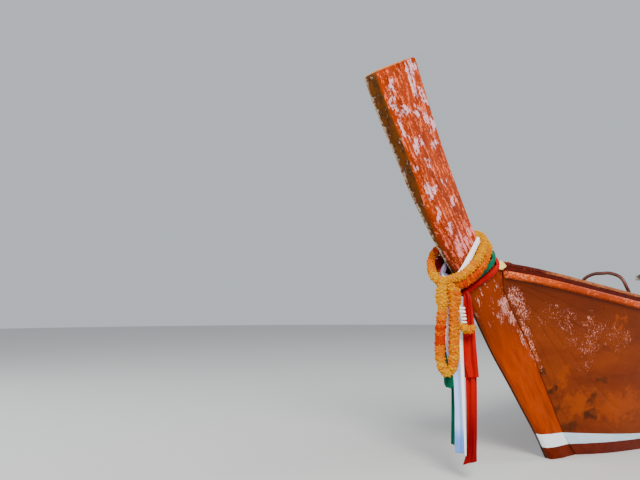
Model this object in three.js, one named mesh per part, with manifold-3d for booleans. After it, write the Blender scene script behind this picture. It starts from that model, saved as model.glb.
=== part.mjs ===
// Wooden longtail boat, afloat: planked hull with a raised prow post, canopy, and an open engine
// on a swivel yoke that drives a propeller at the end of a long tail.
// Millimetres. +X runs to the bow, +Y to port, +Z up. The origin is on the centreline, at the
// waterline, in the middle of the waterline's length.
import * as THREE from 'three';
import { mergeVertices } from 'three/addons/utils/BufferGeometryUtils.js';
import Module from 'manifold-3d';

const wasm = await Module();
wasm.setup();

// Driving dimensions
const STEM_X = 4850;            // where the stem's front edge meets the water
const TRANSOM_X = -4850;        // foot of the transom
const TRANSOM_FOOT_Z = -60;
const TRANSOM_RAKE = 0.22;      // how far aft the transom leans for each unit up
const RAKE_START_X = -3300;
const PLANK = 30;               // thickness of the planking
const TIMBER_HALF = 60;         // half the thickness of keel, stem and prow
const PLANK_LAND = 8;           // how far the planks' lower edge stands out from keel and stem
const KEEL_FRONT_X = 3850;      // scarf between keel and stem
const KEEL_DEPTH = 80;          // keel below the planking
const KEEL_TOP = 35;            // keel above the planking's lower edge
const GUNWALE_HEIGHT = 125;
const GUNWALE_THICK = 40;
const RAIL_HEIGHT = 55;
const RAIL_DEPTH = 45;
const GAP = 0.5;                // between pieces that touch
const FOLD_GAP = 0.9;           // the same where two folded skins meet
const MERGE = 0.001;            // points nearer than this are one
const WIDE = 1300;              // past the hull's side
const DEEP = -600;              // below the keel
const HIGH = 1600;              // above the gunwales

const RIB_FIRST_X = -4200;
const RIB_PITCH = 560;
const RIB_COUNT = 16;
const RIB_WIDTH = 40;
const RIB_DEPTH = 35;
const RIB_TOP_DROP = 26;        // rib heads below the sheer
const FLOOR_Z = -190;           // top of the floor timbers
const FLOOR_THICK = 25;
const DECK_THICK = 25;
const STRINGER_THICK = 26;
const STRINGER_HEIGHT = 70;
const THWART_Z = 265;           // underside of the thwarts
const THWART_THICK = 35;
const THWART_WIDTH = 260;
const THWART_RIBS = [4, 6, 8, 10];
const STERN_DECK_Z = 560;
const BEAM_TOP_Z = 800;

const PIVOT_X = -4700;          // steering axis and tilt axis meet here
const PIVOT_Z = 1350;
const TAIL_ANGLE = THREE.MathUtils.degToRad(6);   // tail below horizontal as moored
const PROPELLER_X = -3850;      // along the shaft line, from the tilt axis

const CANOPY_BACK_X = -2720;
const CANOPY_FRONT_X = 960;
const CANOPY_POSTS_X = [-2650, -1470, -290, 890];
const CANOPY_RAIL_Y = 900;
const CANOPY_RAIL_Z = 1650;
const CANOPY_TUBE = 17;
const CANOPY_HALF = 960;
const CANOPY_RISE = 190;

// Materials
const paint = (color, roughness, metalness = 0) =>
  new THREE.MeshStandardMaterial({ color, roughness, metalness });
const SIDE_WOOD = paint(0x8c4308, 0.45);
const STEM_WOOD = paint(0xc44b04, 0.5);
const RAIL_PAINT = paint(0xd7550a, 0.4);
const DARK_WOOD = paint(0x5a2a18, 0.55);
const ANTIFOULING = paint(0x822d0f, 0.7);
const INNER_WOOD = paint(0x9a6a3c, 0.7);
const CAST_IRON = paint(0x3c4348, 0.6, 0.6);
const BARE_STEEL = paint(0x8a8a86, 0.45, 0.9);
const GREY_PAINT = paint(0x5f6f7a, 0.5, 0.3);
const RUSTY_PIPE = paint(0x6b3d25, 0.8, 0.4);
const BRASS = paint(0xb08a3e, 0.35, 0.95);
const GALVANISED = paint(0xa9adae, 0.5, 0.8);
const CANOPY_CLOTH = paint(0x2d5f8a, 0.8);
const LADDER_PAINT = paint(0x7a4a2a, 0.5, 0.3);
const RED_CLOTH = paint(0xd80000, 0.7);
const GREEN_CLOTH = paint(0x006e46, 0.7);
const WHITE_CLOTH = paint(0xc8d7f0, 0.7);
const YELLOW_FLOWERS = paint(0xffcd00, 0.8);
const ORANGE_FLOWERS = paint(0xf06a0a, 0.8);

const boat = new THREE.Group();

function part(name, geometry, material, parent = boat) {
  const mesh = new THREE.Mesh(geometry, material);
  mesh.name = name;
  parent.add(mesh);
  return mesh;
}

// Geometry helpers: solids for cutting and joining, and back
function toSolid(geometry) {
  const bare = geometry.clone();
  bare.deleteAttribute('normal');
  bare.deleteAttribute('uv');
  const merged = mergeVertices(bare, MERGE);
  const vertProperties = new Float32Array(merged.attributes.position.array);
  const triVerts = new Uint32Array(merged.index.array);
  return new wasm.Manifold(new wasm.Mesh({ numProp: 3, vertProperties, triVerts }));
}

function toGeometry(solid) {
  const mesh = solid.getMesh();
  const geometry = new THREE.BufferGeometry();
  geometry.setAttribute('position', new THREE.BufferAttribute(mesh.vertProperties, 3));
  geometry.setIndex(new THREE.BufferAttribute(mesh.triVerts, 1));
  return geometry;
}

const union = (...geometries) => toGeometry(geometries.map(toSolid).reduce((sum, next) => sum.add(next)));
const cut = (geometry, ...tools) =>
  toGeometry(tools.reduce((rest, tool) => rest.subtract(toSolid(tool)), toSolid(geometry)));
const common = (a, b) => toGeometry(toSolid(a).intersect(toSolid(b)));

function mirrored(geometry) {
  const copy = geometry.clone().scale(1, -1, 1);
  const index = copy.index.array;
  for (let i = 0; i < index.length; i += 3) {
    [index[i], index[i + 1]] = [index[i + 1], index[i]];
  }
  return copy;
}

function signedVolume(points, faces) {
  const [a, b, c] = [new THREE.Vector3(), new THREE.Vector3(), new THREE.Vector3()];
  let volume = 0;
  for (const [i, j, k] of faces) {
    a.fromArray(points[i]);
    b.fromArray(points[j]);
    c.fromArray(points[k]);
    volume += a.dot(b.cross(c)) / 6;
  }
  return volume;
}

// A closed skin over a row of closed rings that all have the same number of points. Each four-sided
// patch folds by its points' places alone, so that skins which lie against each other fold alike.
function loft(rings) {
  const count = rings[0].length;
  const points = rings.flat();
  const faces = [];
  const rank = (i) => points[i][2] + 0.5 * Math.abs(points[i][1]);
  for (let r = 0; r + 1 < rings.length; r++) {
    for (let i = 0; i < count; i++) {
      const a = r * count + i;
      const b = r * count + (i + 1) % count;
      if (rank(a) > rank(b)) faces.push([a, b, b + count], [a, b + count, a + count]);
      else faces.push([a, b, a + count], [b, b + count, a + count]);
    }
  }
  const last = (rings.length - 1) * count;
  for (const [i, j, k] of capFaces(rings[0])) faces.push([k, j, i]);
  for (const [i, j, k] of capFaces(rings[rings.length - 1])) faces.push([last + i, last + j, last + k]);
  if (signedVolume(points, faces) < 0) faces.forEach((face) => face.reverse());
  const geometry = new THREE.BufferGeometry();
  geometry.setAttribute('position', new THREE.Float32BufferAttribute(points.flat(), 3));
  geometry.setIndex(faces.flat());
  return geometry;
}

// Triangles over one ring, in the ring's own order
function capFaces(ring) {
  const normal = new THREE.Vector3();
  ring.forEach(([x, y, z], i) => {
    const [u, v, w] = ring[(i + 1) % ring.length];
    normal.x += (y - v) * (z + w);
    normal.y += (z - w) * (x + u);
    normal.z += (x - u) * (y + v);
  });
  const size = normal.toArray().map(Math.abs);
  const drop = size.indexOf(Math.max(...size));
  const flat = ring.map((point) => new THREE.Vector2(point[(drop + 1) % 3], point[(drop + 2) % 3]));
  const faces = THREE.ShapeUtils.triangulateShape(flat, []);
  const forward = normal.getComponent(drop) > 0;
  return faces.map(([i, j, k]) => {
    const ab = flat[j].clone().sub(flat[i]);
    const ac = flat[k].clone().sub(flat[i]);
    return (ab.cross(ac) > 0) === forward ? [i, j, k] : [i, k, j];
  });
}

const box = ([x0, x1], [y0, y1], [z0, z1]) =>
  new THREE.BoxGeometry(x1 - x0, y1 - y0, z1 - z0).translate((x0 + x1) / 2, (y0 + y1) / 2, (z0 + z1) / 2);

function rod(from, to, radius, sides = 12, endRadius = radius) {
  const start = new THREE.Vector3(...from);
  const along = new THREE.Vector3(...to).sub(start);
  const up = new THREE.Vector3(0, 1, 0);
  const turn = new THREE.Quaternion().setFromUnitVectors(up, along.clone().normalize());
  const geometry = new THREE.CylinderGeometry(endRadius, radius, along.length(), sides);
  return geometry.translate(0, along.length() / 2, 0).applyQuaternion(turn).translate(...from);
}

function tube(points, radius, steps, sides = 8) {
  const circle = new THREE.Shape().absarc(0, 0, radius, 0, 2 * Math.PI);
  const route = points.map((point) => new THREE.Vector3(...point));
  const extrudePath = new THREE.CatmullRomCurve3(route, false, 'centripetal');
  const options = { steps, curveSegments: sides / 2, bevelEnabled: false, extrudePath };
  return new THREE.ExtrudeGeometry(circle, options);
}

// A turned body on the X axis, from a closed profile of [x, radius] points
function turned(profile, sides = 20) {
  const points = profile.map(([x, radius]) => new THREE.Vector2(radius, x));
  const body = new THREE.LatheGeometry([...points, points[0]], sides).rotateZ(-Math.PI / 2);
  const bare = body.deleteAttribute('normal').deleteAttribute('uv');
  return outward(mergeVertices(bare, MERGE));
}

// Drops empty triangles and turns a closed skin so that its faces point out
function outward(geometry) {
  const at = geometry.attributes.position;
  const points = Array.from({ length: at.count }, (_, i) => [at.getX(i), at.getY(i), at.getZ(i)]);
  const faces = [];
  for (let i = 0; i < geometry.index.count; i += 3) {
    const face = [0, 1, 2].map((k) => geometry.index.getX(i + k));
    if (new Set(face).size === 3) faces.push(face);
  }
  if (signedVolume(points, faces) < 0) faces.forEach((face) => face.reverse());
  const result = new THREE.BufferGeometry();
  result.setAttribute('position', new THREE.Float32BufferAttribute(points.flat(), 3));
  result.setIndex(faces.flat());
  return result;
}

// Hull form. Columns: x, lower edge of the planking z, sheer half-breadth, sheer z, then the two
// inner points of the section's curve as fractions of breadth and height.
const STATIONS = [
  [-4850, -60, 450, 730, 0.72, 0.03, 0.95, 0.36],
  [-4200, -150, 640, 668, 0.74, 0.03, 0.96, 0.36],
  [-3000, -262, 860, 606, 0.75, 0.03, 0.97, 0.36],
  [-1500, -300, 985, 580, 0.76, 0.03, 0.97, 0.38],
  [0, -310, 1015, 612, 0.76, 0.03, 0.97, 0.38],
  [1300, -310, 960, 730, 0.74, 0.03, 0.95, 0.38],
  [2400, -307, 838, 893, 0.68, 0.02, 0.89, 0.40],
  [3250, -300, 700, 1050, 0.58, 0.02, 0.80, 0.43],
  [3850, -280, 568, 1168, 0.46, 0.02, 0.72, 0.46],
  [4230, -200, 480, 1241, 0.40, 0.05, 0.68, 0.50],
  [4500, -20, 402, 1295, 0.36, 0.15, 0.68, 0.58],
  [4700, 212, 342, 1335, 0.34, 0.25, 0.67, 0.63],
  [4850, 470, 300, 1364, 0.33, 0.30, 0.67, 0.65],
  [4950, 640, 267, 1385, 0.33, 0.32, 0.67, 0.66],
  [5067, 867, 225, 1408, 0.33, 0.33, 0.67, 0.67],
  [5200, 1050, 175, 1434, 0.33, 0.33, 0.67, 0.67],
  [5346, 1244, 112, 1457, 0.33, 0.33, 0.67, 0.67],
  [5430, 1380, 74, 1470, 0.33, 0.33, 0.67, 0.67],
];
const SECTION_STEPS = 6;

// Each column of the table as a smooth curve over x
function stationAt(x) {
  const rows = STATIONS;
  const last = rows.length - 1;
  const slope = (i, column) => {
    const [back, front] = [Math.max(i - 1, 0), Math.min(i + 1, last)];
    return (rows[front][column] - rows[back][column]) / (rows[front][0] - rows[back][0]);
  };
  let i = 0;
  while (i < last - 1 && x > rows[i + 1][0]) i++;
  const span = rows[i + 1][0] - rows[i][0];
  const t = (x - rows[i][0]) / span;
  const [h00, h10] = [(1 + 2 * t) * (1 - t) ** 2, t * (1 - t) ** 2];
  const [h01, h11] = [t * t * (3 - 2 * t), t * t * (t - 1)];
  return rows[i].map((_, column) => (column === 0 ? x :
    h00 * rows[i][column] + h10 * span * slope(i, column) +
    h01 * rows[i + 1][column] + h11 * span * slope(i + 1, column)));
}

// Where the skins fold: the transom, each rib, and the table's rows from the foot of the stem on
const ribXs = Array.from({ length: RIB_COUNT }, (_, i) => RIB_FIRST_X + i * RIB_PITCH);
const lastRibEnd = ribXs[RIB_COUNT - 1] + RIB_WIDTH;
const bowRows = STATIONS.map(([x]) => x).filter((x) => x === KEEL_FRONT_X || x > lastRibEnd);
const STATION_XS = [TRANSOM_X, ...ribXs, ...bowRows].sort((a, b) => a - b);

const rake = (x, z) => {
  const share = THREE.MathUtils.clamp((RAKE_START_X - x) / (RAKE_START_X - TRANSOM_X), 0, 1);
  return x - TRANSOM_RAKE * share * (z - TRANSOM_FOOT_Z);
};

// Half a section from the lower edge to the sheer, offset inward by depth, as [y, z] points
function halfSection(x, depth) {
  const [, keelZ, sheerY, sheerZ, y1, z1, y2, z2] = stationAt(x);
  const footY = TIMBER_HALF + PLANK_LAND;
  const [breadth, height] = [sheerY - footY, sheerZ - keelZ];
  const curve = new THREE.CubicBezierCurve(
    new THREE.Vector2(footY, keelZ),
    new THREE.Vector2(footY + y1 * breadth, keelZ + z1 * height),
    new THREE.Vector2(footY + y2 * breadth, keelZ + z2 * height),
    new THREE.Vector2(sheerY, sheerZ));
  return Array.from({ length: SECTION_STEPS + 1 }, (_, i) => {
    const t = i / SECTION_STEPS;
    const point = curve.getPoint(t);
    const tangent = curve.getTangent(t);
    const y = Math.max(point.x - tangent.y * depth, TIMBER_HALF + (depth > 0 ? 0 : PLANK_LAND));
    const z = Math.min(point.y + tangent.x * depth, sheerZ);
    return [y, z];
  });
}

const ring = (x, points) => points.map(([y, z]) => [rake(x, z), y, z]);

// A strake of planking between two steps of the section, its lower edge raised along the section
function planking(xs, fromStep, toStep, raise) {
  const raised = (points) => {
    const [first, second] = points.map(([y, z]) => new THREE.Vector2(y, z));
    first.addScaledVector(second.clone().sub(first).normalize(), raise);
    return [first.toArray(), ...points.slice(1)];
  };
  return loft(xs.map((x) => {
    const outer = raised(halfSection(x, 0).slice(fromStep, toStep + 1));
    const inner = raised(halfSection(x, PLANK).slice(fromStep, toStep + 1));
    return ring(x, [...outer, ...inner.reverse()]);
  }));
}

// Everything inside the planking and gunwales, down to the top of the keel and apron
const apronRise = (x) => 120 * THREE.MathUtils.smoothstep(x, 4000, 4800);
const keelTop = (x) => stationAt(x)[1] + KEEL_TOP + apronRise(x);

const APART = 0.01;             // keeps points that would fall together apart
const ROOM_FRONT_X = 5200;
function inside(depth) {
  return loft(STATION_XS.filter((x) => x <= ROOM_FRONT_X).map((x) => {
    const [, , sheerY, sheerZ] = stationAt(x);
    const floor = keelTop(x) + GAP;
    const side = halfSection(x, depth).map(([y, z], i) => [y + APART * i, Math.max(z, floor + APART * i)]);
    const topY = Math.max(sheerY - GUNWALE_THICK - depth + PLANK, TIMBER_HALF + APART);
    side.push([topY, sheerZ - GAP], [topY, sheerZ + GUNWALE_HEIGHT]);
    return ring(x, [...side, ...side.map(([y, z]) => [-y, z]).reverse()]);
  }));
}

// A layer that follows the sheer, between two heights from it
function sheerLayer(low, high) {
  return loft(STATION_XS.map((x) => {
    const sheerZ = stationAt(x)[3];
    const bottom = Math.max(sheerZ + low, DEEP);
    return ring(x, [[WIDE, bottom], [WIDE, sheerZ + high], [-WIDE, sheerZ + high], [-WIDE, bottom]]);
  }));
}

// A strip along the sheer from a function that gives its section
const sheerStrip = (section) => loft(STATION_XS.map((x) => {
  const [, , sheerY, sheerZ] = stationAt(x);
  return ring(x, section(sheerY, sheerZ));
}));

// Planking in a bottom, a bilge and a side panel on each hand. The bottom's planks meet end to end on
// three of the ribs.
const BILGE_STEPS = [2, 4];
const [AFT_BUTT_X, FORE_BUTT_X, BOW_BUTT_X] = [ribXs[2], ribXs[10], ribXs[13]];
const bottomPlanking = (start, end) => planking(
  [start, ...STATION_XS.filter((x) => x > start && x <= end)], 0, BILGE_STEPS[0], 0);
const planks = [
  ['bottom_planking_aft', bottomPlanking(TRANSOM_X, AFT_BUTT_X), ANTIFOULING],
  ['bottom_planking_mid', bottomPlanking(AFT_BUTT_X + GAP, FORE_BUTT_X), ANTIFOULING],
  ['bottom_planking_fore', bottomPlanking(FORE_BUTT_X + GAP, BOW_BUTT_X), ANTIFOULING],
  ['bottom_planking_bow', bottomPlanking(BOW_BUTT_X + GAP, Infinity), ANTIFOULING],
  ['bilge_planking', planking(STATION_XS, ...BILGE_STEPS, GAP), SIDE_WOOD],
  ['side_planking', planking(STATION_XS, BILGE_STEPS[1], SECTION_STEPS, GAP), SIDE_WOOD],
];
for (const [name, geometry, material] of planks) {
  part(`${name}_port`, geometry, material);
  part(`${name}_starboard`, mirrored(geometry), material);
}

// Gunwale strake on top of the planking, and the rub rail outside it
const gunwale = sheerStrip((y, z) => [
  [Math.max(y - GUNWALE_THICK, TIMBER_HALF), z + GAP], [y, z + GAP],
  [y, z + GUNWALE_HEIGHT], [Math.max(y - GUNWALE_THICK, TIMBER_HALF), z + GUNWALE_HEIGHT]]);
const rubRail = sheerStrip((y, z) => [
  [y + FOLD_GAP, z + 1], [y + RAIL_DEPTH, z + 6], [y + RAIL_DEPTH, z + RAIL_HEIGHT - 6],
  [y + FOLD_GAP, z + RAIL_HEIGHT]]);
const sheerStrips = [['gunwale', gunwale, DARK_WOOD], ['rub_rail', rubRail, RAIL_PAINT]];
for (const [name, geometry, material] of sheerStrips) {
  part(`${name}_port`, geometry, material);
  part(`${name}_starboard`, mirrored(geometry), material);
}

// Keel, from the transom to the scarf with the stem
const half = TIMBER_HALF - GAP;
part('keel', loft(STATION_XS.filter((x) => x <= KEEL_FRONT_X).map((x, i) => {
  const foot = stationAt(x)[1];
  const start = i === 0 ? x + GAP : x;
  const [low, high] = [foot - KEEL_DEPTH, keelTop(x)];
  return ring(start, [[-half, low], [half, low], [half, high], [-half, high]]);
})), STEM_WOOD);

// Stem and prow post as one timber. Columns: front edge x and z, half the thickness of the front
// face, back edge x and z. Both x run from the waterline point of the stem. Inside the hull the back
// edge follows the top of the keel and apron.
const apronAt = (x) => [x, keelTop(x + STEM_X)];
const STEM_ROWS = [
  [-1000 + GAP, -360, 45, ...apronAt(-1000 + GAP)],
  [-620, -339, 40, ...apronAt(-650)],
  [-280, -250, 36, ...apronAt(-350)],
  [-88, -95, 33, ...apronAt(-150)],
  [112, 200, 33, ...apronAt(0)],
  [277, 415, 33, ...apronAt(100)],
  [450, 640, 33, ...apronAt(217)],
  [640, 880, 33, ...apronAt(350)],
  [830, 1160, 35, 405, 1400],
  [965, 1345, 40, 425, 1592],
  [1050, 1485, 45, 690, 1592],
  [1115, 1570, 50, 735, 1640],
  [1260, 1755, 55, 905, 1830],
  [1468, 2060, 60, 1075, 2130],
  [1612, 2310, 60, 1235, 2440],
  [1796, 2620, 60, 1380, 2770],
  [1892, 2820, 60, 1495, 3042],
];
const CHAMFER_SHARE = 0.28;     // of the width, behind the front edge

// One ring of the prow timber, grown outward by a clearance
function stemRing([frontX, frontZ, frontHalf, backX, backZ], grow = 0) {
  const front = new THREE.Vector2(frontX + STEM_X, frontZ);
  const back = new THREE.Vector2(backX + STEM_X, backZ);
  const along = front.clone().sub(back).normalize();
  front.addScaledVector(along, grow);
  back.addScaledVector(along, -grow);
  const shoulder = front.clone().lerp(back, CHAMFER_SHARE);
  const side = half + grow;
  const nose = Math.min(frontHalf, half) + grow;
  return [[back, side], [shoulder, side], [front, nose], [front, -nose], [shoulder, -side], [back, -side]]
    .map(([point, y]) => [point.x, y, point.y]);
}
part('stem_and_prow', loft(STEM_ROWS.map((row) => stemRing(row))), STEM_WOOD);

// Transom between the planks
const TRANSOM_THICK = 40;
const TRANSOM_STEP_DROP = 6;    // its shoulders lie this far below the sheer, under the gunwales
const transomRing = (x) => {
  const points = halfSection(TRANSOM_X, PLANK + GAP);
  const [, , sheerY, sheerZ] = stationAt(TRANSOM_X);
  const floor = keelTop(TRANSOM_X) + GAP;
  const stepZ = sheerZ - TRANSOM_STEP_DROP;
  const port = points.map(([y, z]) => [y, THREE.MathUtils.clamp(z, floor, stepZ)]);
  const topY = sheerY - GUNWALE_THICK - GAP;
  port.push([topY, stepZ], [topY, sheerZ + GUNWALE_HEIGHT]);
  return [...port, ...port.map(([y, z]) => [-y, z]).reverse()]
    .map(([y, z]) => [x - TRANSOM_RAKE * (z - TRANSOM_FOOT_Z), y, z]);
};
part('transom', loft([transomRing(TRANSOM_X + 2), transomRing(TRANSOM_X + 2 + TRANSOM_THICK)]), DARK_WOOD);

// Frames: ribs with flat floor timbers, joined by the keelson. The part of a half section under a
// height is laid flat on it, and its part over a height is cut off.
function flattened(points, z) {
  const k = points.findIndex(([, pointZ]) => pointZ > z);
  if (k < 1) return points;
  const edgeY = THREE.MathUtils.mapLinear(z, points[k - 1][1], points[k][1], points[k - 1][0], points[k][0]);
  return points.map(([y, pointZ], i) => {
    if (i >= k) return [y, pointZ];
    return [k === 1 ? edgeY : THREE.MathUtils.lerp(points[0][0], edgeY, i / (k - 1)), z];
  });
}

function headed(points, z) {
  const [[y0, z0], [y1, z1]] = points.slice(-2);
  return [...points.slice(0, -1), [THREE.MathUtils.mapLinear(z, z0, z1, y0, y1), z]];
}

// A value or a half section on the folded skin itself, between its stations
function folded(x, at) {
  const next = Math.max(STATION_XS.findIndex((station) => station >= x), 1);
  const [x0, x1] = [STATION_XS[next - 1], STATION_XS[next]];
  return THREE.MathUtils.mapLinear(x, x0, x1, at(x0), at(x1));
}
const foldedSection = (x, depth) => halfSection(x, depth).map((_, i) =>
  [0, 1].map((axis) => folded(x, (station) => halfSection(station, depth)[i][axis])));

const KEELSON = { half: 60, height: 45, reach: 15 };
const ribRing = (x) => {
  const headZ = stationAt(x)[3] - RIB_TOP_DROP - GAP;
  const foot = folded(x, keelTop) + GAP;
  const outer = headed(flattened(foldedSection(x, PLANK + FOLD_GAP), foot), headZ);
  const floor = Math.max(FLOOR_Z, foot + KEELSON.height);
  const inner = headed(flattened(foldedSection(x, PLANK + RIB_DEPTH), floor), headZ);
  const mirror = (points) => points.map(([y, z]) => [-y, z]);
  return ring(x, [...outer, ...inner.reverse(), ...mirror(inner).reverse(), ...mirror(outer).reverse()]);
};
const ribs = union(...ribXs.map((x) => loft([x - RIB_WIDTH / 2, x, x + RIB_WIDTH / 2].map(ribRing))));
const keelsonEnds = [ribXs[0] - KEELSON.reach, ribXs[RIB_COUNT - 1] + KEELSON.reach];
const keelsonXs = [...keelsonEnds, ...ribXs.slice(0, -1)].sort((a, b) => a - b);
const keelson = loft(keelsonXs.map((x) => {
  const foot = folded(x, keelTop);
  const [low, high] = [foot + GAP, foot + KEELSON.height];
  return ring(x, [[-KEELSON.half, low], [KEELSON.half, low], [KEELSON.half, high], [-KEELSON.half, high]]);
}));

// Each rib is a floor timber across the bottom, and a side rib on each hand above it
const FLOOR_TIMBER_RISE = 110;  // above the keel's top, where the side ribs begin
const bottomLayer = (lift) => loft(STATION_XS.map((x) => {
  const high = folded(x, keelTop) + FLOOR_TIMBER_RISE + lift;
  return ring(x, [[WIDE, DEEP], [WIDE, high], [-WIDE, high], [-WIDE, DEEP]]);
}));
part('floor_timbers', union(keelson, common(ribs, bottomLayer(0))), INNER_WOOD);

const hullRoom = inside(PLANK + GAP);

// What decks must leave free: the ribs, a little larger
const roomInsideRibs = inside(PLANK + RIB_DEPTH + FOLD_GAP);
const ribSlab = (x) => loft([-1, 1].map((side) =>
  ring(x + side * (RIB_WIDTH / 2 + GAP), [[-WIDE, DEEP], [WIDE, DEEP], [WIDE, HIGH], [-WIDE, HIGH]])));
const ribBlockers = cut(union(...ribXs.map(ribSlab)), roomInsideRibs);

// Bow deck, floor boards and stern deck
const BOW_DECK = [3250, ROOM_FRONT_X - 1];
const FLOOR = { from: -2700, to: 3000, half: 620 };
const STERN_DECK = [-4925, -3350];
const underRibHeads = sheerLayer(-RIB_TOP_DROP, -RIB_TOP_DROP + DECK_THICK);
const bowSlab = common(underRibHeads, box(BOW_DECK, [-WIDE, WIDE], [0, HIGH]));
part('bow_deck', common(bowSlab, hullRoom), INNER_WOOD);
const floorLayer = [FLOOR_Z + GAP, FLOOR_Z + FLOOR_THICK];
const floorSlab = box([FLOOR.from, FLOOR.to], [-FLOOR.half, FLOOR.half], floorLayer);
part('floor_boards', common(floorSlab, roomInsideRibs), INNER_WOOD);
const sternSlab = box(STERN_DECK, [-WIDE, WIDE], [STERN_DECK_Z, STERN_DECK_Z + DECK_THICK]);
part('stern_deck', cut(common(sternSlab, hullRoom), ribBlockers), INNER_WOOD);

// Side ribs with the stringer let into them, and the thwarts that rest on it
const STRINGER_LET_IN = 6;
const stringerSlab = box(keelsonEnds, [0, WIDE], [THWART_Z - STRINGER_HEIGHT, THWART_Z - GAP]);
const stringer = cut(common(stringerSlab, inside(PLANK + RIB_DEPTH - STRINGER_LET_IN)),
  inside(PLANK + RIB_DEPTH + STRINGER_THICK));
const buttAfter = (rib) => (ribXs[rib] + ribXs[rib + 1]) / 2;
const [AFT_STRINGER_BUTT_X, FORE_STRINGER_BUTT_X] = [buttAfter(4), buttAfter(10)];
const sideRibLengths = [
  ['aft', TRANSOM_X, AFT_STRINGER_BUTT_X - GAP / 2],
  ['mid', AFT_STRINGER_BUTT_X + GAP / 2, FORE_STRINGER_BUTT_X - GAP / 2],
  ['fore', FORE_STRINGER_BUTT_X + GAP / 2, STEM_X],
];
const sideRibs = union(stringer, cut(ribs, bottomLayer(GAP)));
for (const [name, from, to] of sideRibLengths) {
  const length = common(sideRibs, box([from, to], [0, WIDE], [DEEP, HIGH]));
  part(`side_ribs_${name}_port`, length, INNER_WOOD);
  part(`side_ribs_${name}_starboard`, mirrored(length), INNER_WOOD);
}
THWART_RIBS.forEach((rib, i) => {
  const x = ribXs[rib];
  const across = [x - THWART_WIDTH / 2, x + THWART_WIDTH / 2];
  const slab = box(across, [-WIDE, WIDE], [THWART_Z, THWART_Z + THWART_THICK]);
  part(`thwart_${i + 1}`, common(slab, roomInsideRibs), INNER_WOOD);
});

// Engine beam across the stern deck, with the socket of the steering pivot
const deckTop = STERN_DECK_Z + DECK_THICK + GAP;
const BEAM_HALF = 110;
const beamStock = box([PIVOT_X - BEAM_HALF, PIVOT_X + BEAM_HALF], [-WIDE, WIDE], [deckTop, BEAM_TOP_Z]);
part('engine_beam', common(beamStock, hullRoom), DARK_WOOD);
const SOCKET = { plate: 110, plateThick: 12, outer: 48, bore: 32, top: 990, pin: 30 };
const socketPlate = box([PIVOT_X - SOCKET.plate, PIVOT_X + SOCKET.plate], [-SOCKET.plate, SOCKET.plate],
  [BEAM_TOP_Z + GAP, BEAM_TOP_Z + SOCKET.plateThick]);
const socketTube = rod([PIVOT_X, 0, BEAM_TOP_Z + GAP], [PIVOT_X, 0, SOCKET.top], SOCKET.outer, 16);
const socketBore = rod([PIVOT_X, 0, BEAM_TOP_Z + 5], [PIVOT_X, 0, SOCKET.top + 5], SOCKET.bore, 16);
part('pivot_socket', cut(union(socketPlate, socketTube), socketBore), GREY_PAINT);

// Swivel yoke: pin, collar, crosshead and two arms with the trunnion holes
const YOKE = { collar: 62, crossheadZ: 1010, crossheadThick: 25, armInner: 200, armOuter: 222, armHalf: 48 };
const TRUNNION = 20;
const TRUNNION_BORE = 20.6;
const yokePin = rod([PIVOT_X, 0, BEAM_TOP_Z + 10], [PIVOT_X, 0, YOKE.crossheadZ + 5], SOCKET.pin, 16);
const yokeCollar = rod([PIVOT_X, 0, SOCKET.top + GAP], [PIVOT_X, 0, YOKE.crossheadZ + 5], YOKE.collar, 16);
const crosshead = box([PIVOT_X - YOKE.armHalf, PIVOT_X + YOKE.armHalf], [-YOKE.armOuter, YOKE.armOuter],
  [YOKE.crossheadZ, YOKE.crossheadZ + YOKE.crossheadThick]);
const armShape = new THREE.Shape();
armShape.moveTo(-YOKE.armHalf, YOKE.crossheadZ + 2);
armShape.lineTo(YOKE.armHalf, YOKE.crossheadZ + 2);
armShape.lineTo(YOKE.armHalf, PIVOT_Z);
armShape.absarc(0, PIVOT_Z, YOKE.armHalf, 0, Math.PI);
armShape.holes.push(new THREE.Path().absarc(0, PIVOT_Z, TRUNNION_BORE, 0, 2 * Math.PI, true));
const armPlate = { depth: YOKE.armOuter - YOKE.armInner, bevelEnabled: false, curveSegments: 7 };
const arm = new THREE.ExtrudeGeometry(armShape, armPlate).rotateX(Math.PI / 2)
  .translate(PIVOT_X, YOKE.armOuter, 0);
const otherArm = arm.clone().translate(0, -YOKE.armInner - YOKE.armOuter, 0);
part('swivel_yoke', union(yokePin, yokeCollar, crosshead, arm, otherArm), GREY_PAINT);

// Engine group: its +X runs forward along the shaft line, from the tilt axis
const engine = new THREE.Group();
engine.position.set(PIVOT_X, 0, PIVOT_Z);
engine.rotation.y = -TAIL_ANGLE;
boat.add(engine);

// Cradle: two rails, cross members, trunnion pins with their cheeks
const BLOCK = { from: 180, to: 640, half: 140, low: -140, high: 190 };
const HEAD_TOP = 330;
const TUBE = { radius: 38, wall: 5, end: -3700, bearing: 16.5 };
const RAILS = { inner: 152, outer: 192, low: -70, high: -20, from: -90, to: BLOCK.to + 120 };
const acrossRails = [-RAILS.outer, RAILS.outer];
const cradleRail = box([RAILS.from, RAILS.to], [RAILS.inner, RAILS.outer], [RAILS.low, RAILS.high]);
const frontCross = box([RAILS.to - 50, RAILS.to], acrossRails, [RAILS.low, RAILS.high]);
const tillerSeat = box([RAILS.to - 50, RAILS.to], [-40, 40], [RAILS.low, 10]);
const tailCross = cut(box([RAILS.from, RAILS.from + 40], acrossRails, [RAILS.low, 60]),
  rod([-200, 0, 0], [0, 0, 0], TUBE.radius + 1, 20));
const cheek = box([-40, 40], [RAILS.inner, RAILS.outer], [RAILS.low, 40]);
const trunnion = rod([0, RAILS.outer - 10, 0], [0, YOKE.armOuter + 8, 0], TRUNNION, 16);
part('engine_cradle', union(cradleRail, mirroredSolid(cradleRail), frontCross, tillerSeat, tailCross,
  cheek, mirroredSolid(cheek), trunnion, mirroredSolid(trunnion)), GREY_PAINT, engine);

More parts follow.
